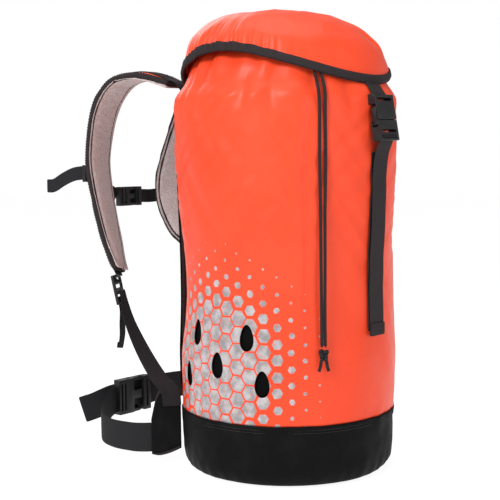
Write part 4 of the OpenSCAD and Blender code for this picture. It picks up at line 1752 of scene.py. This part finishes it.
@dataclass
class ShoulderStrap:
    """One shoulder strap: webbing yoke, padded strap, ladder lock, lower webbing and pull tab."""

    side: Side
    pad: Sequence[tuple[float, float, float]]
    root: Sequence[tuple[float, float, float]]
    lower: Sequence[tuple[float, float, float]]
    tab: Sequence[tuple[float, float, float]]
    width: float = 64.0
    web: float = 25.0
    turn: float = 30.0

    def build(self) -> None:
        """Makes the whole strap."""
        word = self.side.name.lower()
        twist = math.radians(self.turn)
        across = Vector((math.cos(twist), -self.side.value * math.sin(twist), 0))
        band = Band([mm(*p) for p in self.pad], Vector((1, 0, 0)), across)
        pad = Pad(f"shoulder_pad_{word}", band, self.width * MM, 8.4 * MM)
        piece = pad.fill(CLOTH)
        hand_over(piece, "bag", "orange_fabric", f"pad_cover_{word}", f"pad_foam_{word}")
        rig.padded(piece, 0.5)
        hand_over(pad.cover_sheet(f"shoulder_lining_{word}", LINING, 1), "bag", "mesh_lining",
                  f"pad_lining_{word}")
        tape, line = pad.tape(TAPE)
        hand_over(tape, "bag", "binding", f"pad_binding_{word}")
        hand_over(line, "bag", "binding")
        self.webbing(pad, word)
        refined_copy(f"ladder_lock_{word}", f"{word}_lock", "buckle_plastic", PLASTIC, 1.1 * MM)
        flat = Vector((0.687, 0.727 * self.side.value, 0))
        for name, points, nodes, last in (("lower", self.lower, (f"lower_web_{word}",), flat),
                                          ("tab", self.tab, (), across)):
            route = Band([mm(*p) for p in points], across, last)
            hand_over(strap(f"{name}_webbing_{word}", route, self.web * MM, HARNESS), "bag", "webbing",
                      *nodes)
        end = Band([mm(*p) for p in self.tab[-2:]], across)
        hand_over(strap(f"tab_hem_{word}", end, self.web * MM, HARNESS, 1.5 * MM, -1.7 * MM, 0.55, 1.0),
                  "bag", "webbing")

    def webbing(self, pad: Pad, word: str) -> None:
        """Runs the webbing from the bag over the pad's outer face, and tacks it down.

        Args:
            pad: The finished pad.
            word: The side's name.
        """
        first = [mm(*p) for p in self.root]
        whole = Band(first + [mm(*p) for p in self.pad], pad.band.first, pad.band.last)
        lead = (whole.route.length - pad.band.route.length) / whole.route.length

        def place(u: float, v: float) -> Vector:
            """A point on the webbing, which lies on the pad wherever there is one under it."""
            across = (u - 0.5) * self.web * MM
            share = (v - lead) / (1 - lead)
            free = whole.point(v, across, -6.6 * MM)
            if share <= 0:
                return free
            return free.lerp(pad.on_skin(share, across, -1, 1.0 * MM), ease(share, 0.0, 0.03))

        rows = int(whole.route.length / WEB_STEP)
        mesh = sheet(8, rows, place, (self.web * MM, whole.route.length))
        piece = shape(f"shoulder_webbing_{word}", mesh, HARNESS)
        thicken(piece, 1.6 * MM, 0.0, 1)
        hand_over(piece, "bag", "webbing", f"pad_web_{word}")
        for row, share in enumerate((0.05, 0.075, 0.34, 0.36, 0.66, 0.68, 0.93, 0.955)):
            dots = [pad.on_skin(share, x * MM, -1, 2.2 * MM) for x in range(-10, 11, 2)]
            out = [-pad.band.normal(share)] * len(dots)
            hand_over(stitches(f"shoulder_tack_{word}_{row + 1}", dots, out, 1.7 * MM, 0.55 * MM),
                      "bag", "webbing")


@dataclass
class BackPanel:
    """The padded panel against the wearer's back, with the haul loop above it."""

    bag: Bag
    low: float = 84.0
    high: float = 468.0
    width: float = 150.0
    loop: Sequence[tuple[float, float, float]] = (
        (0, 143, 472), (0, 152, 470.5), (0, 163, 472.5), (0, 169, 481), (0, 164, 490.5), (0, 152, 493),
        (0, 141, 492))

    def build(self) -> None:
        """Makes the panel, its quilting, its tape and the haul loop."""
        points = [turned(180, self.bag.wall.radius(z) + 4.2, z)
                  for z in range(int(self.low), int(self.high) + 1, 32)]
        band = Band(points, Vector((1, 0, 0)))
        pad = Pad("back_panel", CurvedBand(band, 141 * MM), self.width * MM, 7.0 * MM, round_end=0.06,
                  narrow=(0.93, 0.90), tape_reach=9 * MM)
        piece = pad.fill(BASE_CLOTH)
        hand_over(piece, "bag", "base_fabric", "back_pad")
        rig.padded(piece, 0.3)
        hand_over(pad.cover_sheet("back_panel_mesh", BACK_MESH, 1), "bag", "mesh_lining")
        tape, line = pad.tape(TAPE, 1)
        hand_over(tape, "bag", "binding")
        hand_over(line, "bag", "binding")
        for row in range(5):
            share = 0.16 + row * 0.17
            dots = [pad.on_skin(share - 0.03 * (abs(x) / 62) ** 2, x * MM, 1, 0.95 * MM)
                    for x in range(-64, 65, 3)]
            out = [pad.band.normal(share, x * MM) for x in range(-64, 65, 3)]
            hand_over(stitches(f"back_quilting_{row + 1}", dots, out, 2.2 * MM, 0.6 * MM), "bag",
                      "base_fabric")
        loop = Band([mm(*p) for p in self.loop], Vector((1, 0, 0)))
        hand_over(strap("haul_loop_web", loop, 20 * MM, HARNESS, 2.0 * MM), "bag", "webbing", "haul_loop")


@dataclass
class HipWing:
    """One wing of heavy cloth that ties the waist belt to the bag."""

    side: Side
    foot: tuple[float, float] = (98.5, 103.2)
    lean: float = 46.6
    low: Sequence[tuple[float, float]] = ((0, 22), (10, 17.5), (20, 14), (30, 12), (40, 14))
    high: Sequence[tuple[float, float]] = ((0, 98), (10, 101), (18, 101.5), (30, 96), (40, 58))

    def build(self) -> None:
        """Makes the wing, its taped edges and its stitches."""
        word = self.side.name.lower()
        below = Route([Vector((u, 0, z)) for u, z in self.low])
        above = Route([Vector((u, 0, z)) for u, z in self.high])

        def spot(u: float, v: float, out: float) -> Vector:
            """A point on the wing, out millimetres off its middle."""
            flat = below.at(u).lerp(above.at(u), v)
            angle = math.radians(self.lean)
            out += 1.2 * ripple(u * 2.5 + self.side.value, v * 2.5, 4)
            x = self.foot[0] + flat.x * math.cos(angle) + out * math.sin(angle)
            y = self.foot[1] + flat.x * math.sin(angle) - out * math.cos(angle)
            return mm(self.side.value * x, y, flat.z)

        mesh = sheet(16, 22, lambda u, v: spot(u, v, 0), (0.04, 0.08))
        bmesh.ops.recalc_face_normals(mesh, faces=mesh.faces)
        wing = shape(f"hip_wing_{word}", mesh, BASE_CLOTH)
        thicken(wing, 3.2 * MM, 0.0, 1)
        hand_over(wing, "bag", "base_fabric", f"wing_{word}")
        for name, fixed in (("top", 0.965), ("foot", 0.035)):
            over = 0.05 if fixed > 0.5 else -0.05
            mesh = sheet(16, 8, lambda u, v: spot(u, fixed + over * math.sin(math.pi * v),
                                                  2.5 * math.cos(math.pi * v)), (0.05, 0.012))
            tape = shape(f"wing_tape_{name}_{word}", mesh, TAPE)
            thicken(tape, 1.0 * MM, 0.0, 1)
            hand_over(tape, "bag", "binding")
        dots = [spot(0.78 + 0.12 * math.sin(i), 0.12 + 0.6 * i / 24, -2.1) for i in range(25)]
        out = [spot(0.8, 0.5, -5) - spot(0.8, 0.5, 0)] * len(dots)
        hand_over(stitches(f"wing_stitches_{word}", dots, out, 1.8 * MM), "bag", "base_fabric")


@dataclass
class Belt:
    """A belt or chest strap in two halves that meet in a side-release buckle."""

    name: str
    width: float
    left: Sequence[tuple[float, float, float]]
    right: Sequence[tuple[float, float, float]]
    tail: Sequence[tuple[float, float, float]]
    home: str
    half: str
    arm: str
    node: str
    joint: str
    sewn_to: str
    reach: tuple[float, float, float]

    def build(self) -> None:
        """Makes the webbing, rounds off the buckle and hems the tail."""
        across = Vector((0, 0, 1))
        band = Band([mm(*p) for p in self.left], across)
        hand_over(strap(f"{self.name}_webbing_left", band, self.width * MM, HARNESS), self.home, "webbing",
                  f"{self.node}_web_left")
        band = Band([mm(*p) for p in self.right], across)
        bend(strap(f"{self.name}_webbing_right", band, self.width * MM, HARNESS), "webbing", self.joint,
             self.sewn_to, self.half, mm(*self.reach), f"{self.node}_web_right")
        band = Band([mm(*p) for p in self.tail], across)
        hand_over(strap(f"{self.name}_tail_web", band, self.width * MM, HARNESS), self.home, "webbing",
                  f"{self.node}_tail")
        hem = strap(f"{self.name}_tail_hem", band, self.width * MM, HARNESS, 1.5 * MM, 1.6 * MM,
                    max(0.0, 1 - 0.014 / band.route.length), 1.0)
        hand_over(hem, self.home, "webbing")
        refined_copy(f"{self.node}_socket", self.half, "buckle_plastic", PLASTIC)
        refined_copy(f"{self.node}_plug", self.home, "buckle_plastic", PLASTIC)
        for word in ("upper", "lower"):
            refined_copy(f"{self.node}_arm_{word}", f"{self.arm}_arm_{word}", "buckle_plastic", PLASTIC,
                         0.5 * MM)


@dataclass
class Insides:
    """The parts inside the bag and under the lid: floor pad, hem cord and cord lock."""

    floor_radius: float = 117.0

    def build(self) -> None:
        """Makes the floor pad and dresses the small parts."""
        mesh = bmesh.new()
        made = bmesh.ops.create_circle(mesh, cap_ends=True, segments=96, radius=self.floor_radius * MM)
        bmesh.ops.translate(mesh, verts=made["verts"], vec=(0, 0, 3.1 * MM))
        lifted = bmesh.ops.extrude_face_region(mesh, geom=mesh.faces[:])
        bmesh.ops.translate(mesh, verts=[g for g in lifted["geom"] if isinstance(g, bmesh.types.BMVert)],
                            vec=(0, 0, 3.8 * MM))
        rim = [e for e in mesh.edges if len(e.link_faces) == 2 and e.calc_face_angle() > 1]
        bmesh.ops.bevel(mesh, geom=rim, offset=1.5 * MM, segments=3, profile=0.5, affect="EDGES", material=-1)
        bmesh.ops.recalc_face_normals(mesh, faces=mesh.faces)
        hand_over(shape("floor_pad", mesh, FOAM), "bag", "foam", "base_pad")
        refined_copy("cord_lock", "bag", "buckle_plastic", PLASTIC, 1.2 * MM)
        refined_copy("cord_lock_button", "cord_button", "buckle_plastic", PLASTIC, 1.0 * MM)
        dress("cord_lock_spring", WIRE)
        dress("drawcord_loop", CORD)


def dress(node: str, finish: object) -> None:
    """Gives a CAD node that stays in view its finish."""
    slots = frame["nodes"][node].data.materials
    if len(slots):
        slots[0] = material(finish)
    else:
        slots.append(material(finish))
    LOG.info("%s wears %s", node, material(finish).name)


# ---------------------------------------------------------------- studio

@dataclass
class Studio:
    """Pale floor, soft lights and the camera."""

    turn: float = -49.5
    distance: float = 1.5
    height: float = 0.41
    aim_height: float = 0.285
    shift_left: float = 0.048
    lens: float = 81.5
    roll: float = -0.6
    surround: float = 0.38

    def build(self) -> None:
        """Sets up the whole studio."""
        scene = bpy.context.scene
        scene.view_settings.view_transform = "Standard"
        self.floor()
        self.world()
        angle = math.radians(self.turn)
        back = Vector((math.sin(angle), -math.cos(angle), 0))
        right = Vector((math.cos(angle), math.sin(angle), 0))
        aim = Vector((0, 0, self.aim_height)) - right * self.shift_left
        eye = aim + back * self.distance
        eye.z = self.height
        self.light("key", eye + right * -1.1 + Vector((0, 0, 1.2)), aim, 0.7, 30)
        self.light("fill", eye + right * 1.2 + Vector((0, 0, 0.3)), aim, 1.2, 7)
        self.light("top", aim + back * 0.1 + Vector((0, 0, 2.0)), aim, 1.4, 14)
        self.light("rim", aim - back * 1.3 - right * 0.6 + Vector((0, 0, 1.0)), aim, 1.0, 8)
        data = bpy.data.cameras.new("camera")
        data.lens = self.lens
        data.sensor_width = 36
        camera = bpy.data.objects.new("camera", data)
        scene.collection.objects.link(camera)
        look = (aim - eye).to_track_quat("-Z", "Y").to_matrix().to_4x4()
        level = Matrix.Rotation(math.radians(self.roll), 4, "Z")
        camera.matrix_world = Matrix.Translation(eye) @ look @ level
        scene.camera = camera

    def floor(self) -> None:
        """A wide pale floor under the bag."""
        mesh = bmesh.new()
        bmesh.ops.create_grid(mesh, x_segments=1, y_segments=1, size=9)
        floor = shape("studio_floor", mesh, StudioPaper(), False)
        floor.location.z = -0.4 * MM
        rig.stage(floor)

    def world(self) -> None:
        """An even white surround."""
        world = bpy.data.worlds.new("surround")
        world.use_nodes = True
        tree = world.node_tree
        soft = tree.nodes["Background"]
        soft.inputs["Strength"].default_value = self.surround
        soft.inputs["Color"].default_value = (1, 1, 1, 1)
        bright = tree.nodes.new("ShaderNodeBackground")
        bright.inputs["Color"].default_value = (1, 1, 1, 1)
        seen = tree.nodes.new("ShaderNodeLightPath")
        mixed = tree.nodes.new("ShaderNodeMixShader")
        tree.links.new(seen.outputs["Is Camera Ray"], mixed.inputs[0])
        tree.links.new(soft.outputs[0], mixed.inputs[1])
        tree.links.new(bright.outputs[0], mixed.inputs[2])
        output = next(n for n in tree.nodes if n.type == "OUTPUT_WORLD")
        tree.links.new(mixed.outputs[0], output.inputs["Surface"])
        bpy.context.scene.world = world

    def light(self, name: str, place: Vector, aim: Vector, size: float, power: float) -> None:
        """Adds one soft square light.

        Args:
            name: Its name.
            place: Where it stands.
            aim: What it points at.
            size: Length of its side.
            power: Its power in watts.
        """
        data = bpy.data.lights.new(name, "AREA")
        data.energy = power
        data.size = size
        lamp = bpy.data.objects.new(name, data)
        bpy.context.scene.collection.objects.link(lamp)
        lamp.location = place
        lamp.rotation_euler = (aim - place).to_track_quat("-Z", "Y").to_euler()


# ---------------------------------------------------------------- the whole bag

def harness() -> list[ShoulderStrap | HipWing | Belt]:
    """The parts of the harness, with the routes of their straps.

    Returns:
        Every part that the wearer puts on.
    """
    left = ShoulderStrap(
        Side.LEFT,
        ((-46, 152, 506), (-50, 200, 521), (-56, 242, 519), (-60, 268, 500), (-64, 283, 470),
         (-67, 290, 435),
         (-70, 291, 405), (-73, 284, 375), (-76, 272, 338), (-78, 258, 300), (-80, 243, 266),
         (-80, 232, 246)),
        ((-45, 136, 490), (-45, 143, 497.5)),
        ((-80.5, 233, 222), (-78.6, 229.5, 204), (-85, 213, 180), (-93, 186, 152), (-102, 156, 128),
         (-110, 129, 111),
         (-111, 117.5, 105), (-110.3, 110.8, 98), (-109.6, 109.6, 88), (-109.4, 109.2, 78)),
        ((-82, 236.5, 214), (-80.6, 233, 196), (-84, 230, 178), (-88, 226, 160), (-92, 226, 142)))
    right = ShoulderStrap(
        Side.RIGHT,
        ((46, 152, 505), (50, 185, 509), (55, 215, 492), (60, 238, 458), (64, 258, 420), (67, 272, 388),
         (70, 277, 358), (73, 272, 330), (76, 256, 302), (78, 237, 282), (80, 226, 262)),
        ((45, 136, 490), (45, 143, 497.5)),
        ((80.5, 227, 238), (78.6, 223.5, 220), (85, 208, 190), (93, 182, 156), (102, 153, 128),
         (110, 129, 111),
         (111, 117.5, 105), (110.3, 110.8, 98), (109.6, 109.6, 88), (109.4, 109.2, 78)),
        ((82, 230.5, 230), (80.6, 227, 212), (84, 223, 192), (88, 218, 172), (92, 219, 152)))
    waist = Belt(
        "waist", 40,
        ((-112, 121, 36), (-119, 128.2, 35.5), (-125.5, 137, 35), (-130.5, 149, 34), (-133, 165, 33),
         (-129, 205, 31), (-114, 243, 31), (-84, 274, 36), (-56, 290, 45),
         (-40.5, 295.8, 49.4), (-33, 297.5, 51)),
        ((28, 297, 52), (31, 297, 52), (60, 290, 56), (92, 266, 58), (116, 228, 56), (128, 180, 48),
         (128, 150, 41), (125.5, 137, 38.3), (119, 128.2, 37.5), (112, 121, 37)),
        ((-28, 303, 52), (-36, 308.5, 50), (-46, 314, 46), (-56, 321, 41), (-72, 333, 35)),
        "bag", "belt_half", "belt", "waist", "belt_open", "bag", (0, 8, 0))
    chest = Belt(
        "chest", 20,
        ((-76, 303.5, 388), (-66, 306.8, 387), (-56, 307.8, 384), (-51, 307.8, 377), (-43, 305.3, 365),
         (-34, 298.4, 356.3), (-29, 295.2, 353)),
        ((15, 294, 352), (18, 294, 352), (29, 297, 351.5), (42, 298.5, 351), (57, 295, 352),
         (70, 290.5, 352)),
        ((-79, 301.8, 388), (-79, 330, 386), (-77, 358, 378), (-76, 380, 369), (-75, 398, 368)),
        "sternum", "sternum_half", "chest", "sternum", "sternum_open", "sternum", (-6, 0, 0))
    return [left, right, HipWing(Side.LEFT), HipWing(Side.RIGHT), waist, chest]


def main() -> None:
    """Builds the bag part by part, and the studio round it."""
    logging.basicConfig(level=logging.INFO, format="%(message)s")
    bag = Bag()
    for part in (bag, Lid(), FrontClosure(bag), Drawcord(), BackPanel(bag), *harness(), Insides()):
        part.build()
        LOG.info("%s is done", type(part).__name__)
    for side in Side:
        refined_copy(f"sternum_slider_{side.name.lower()}", "sternum", "buckle_plastic", PLASTIC)
    Studio().build()


if __name__ == "__main__":
    main()
    with open("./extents.json", "w") as note:
        json.dump({"cad": [list(corner) for corner in CAD_BOX],
                   "visual": [list(corner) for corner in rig.bounds()]}, note)
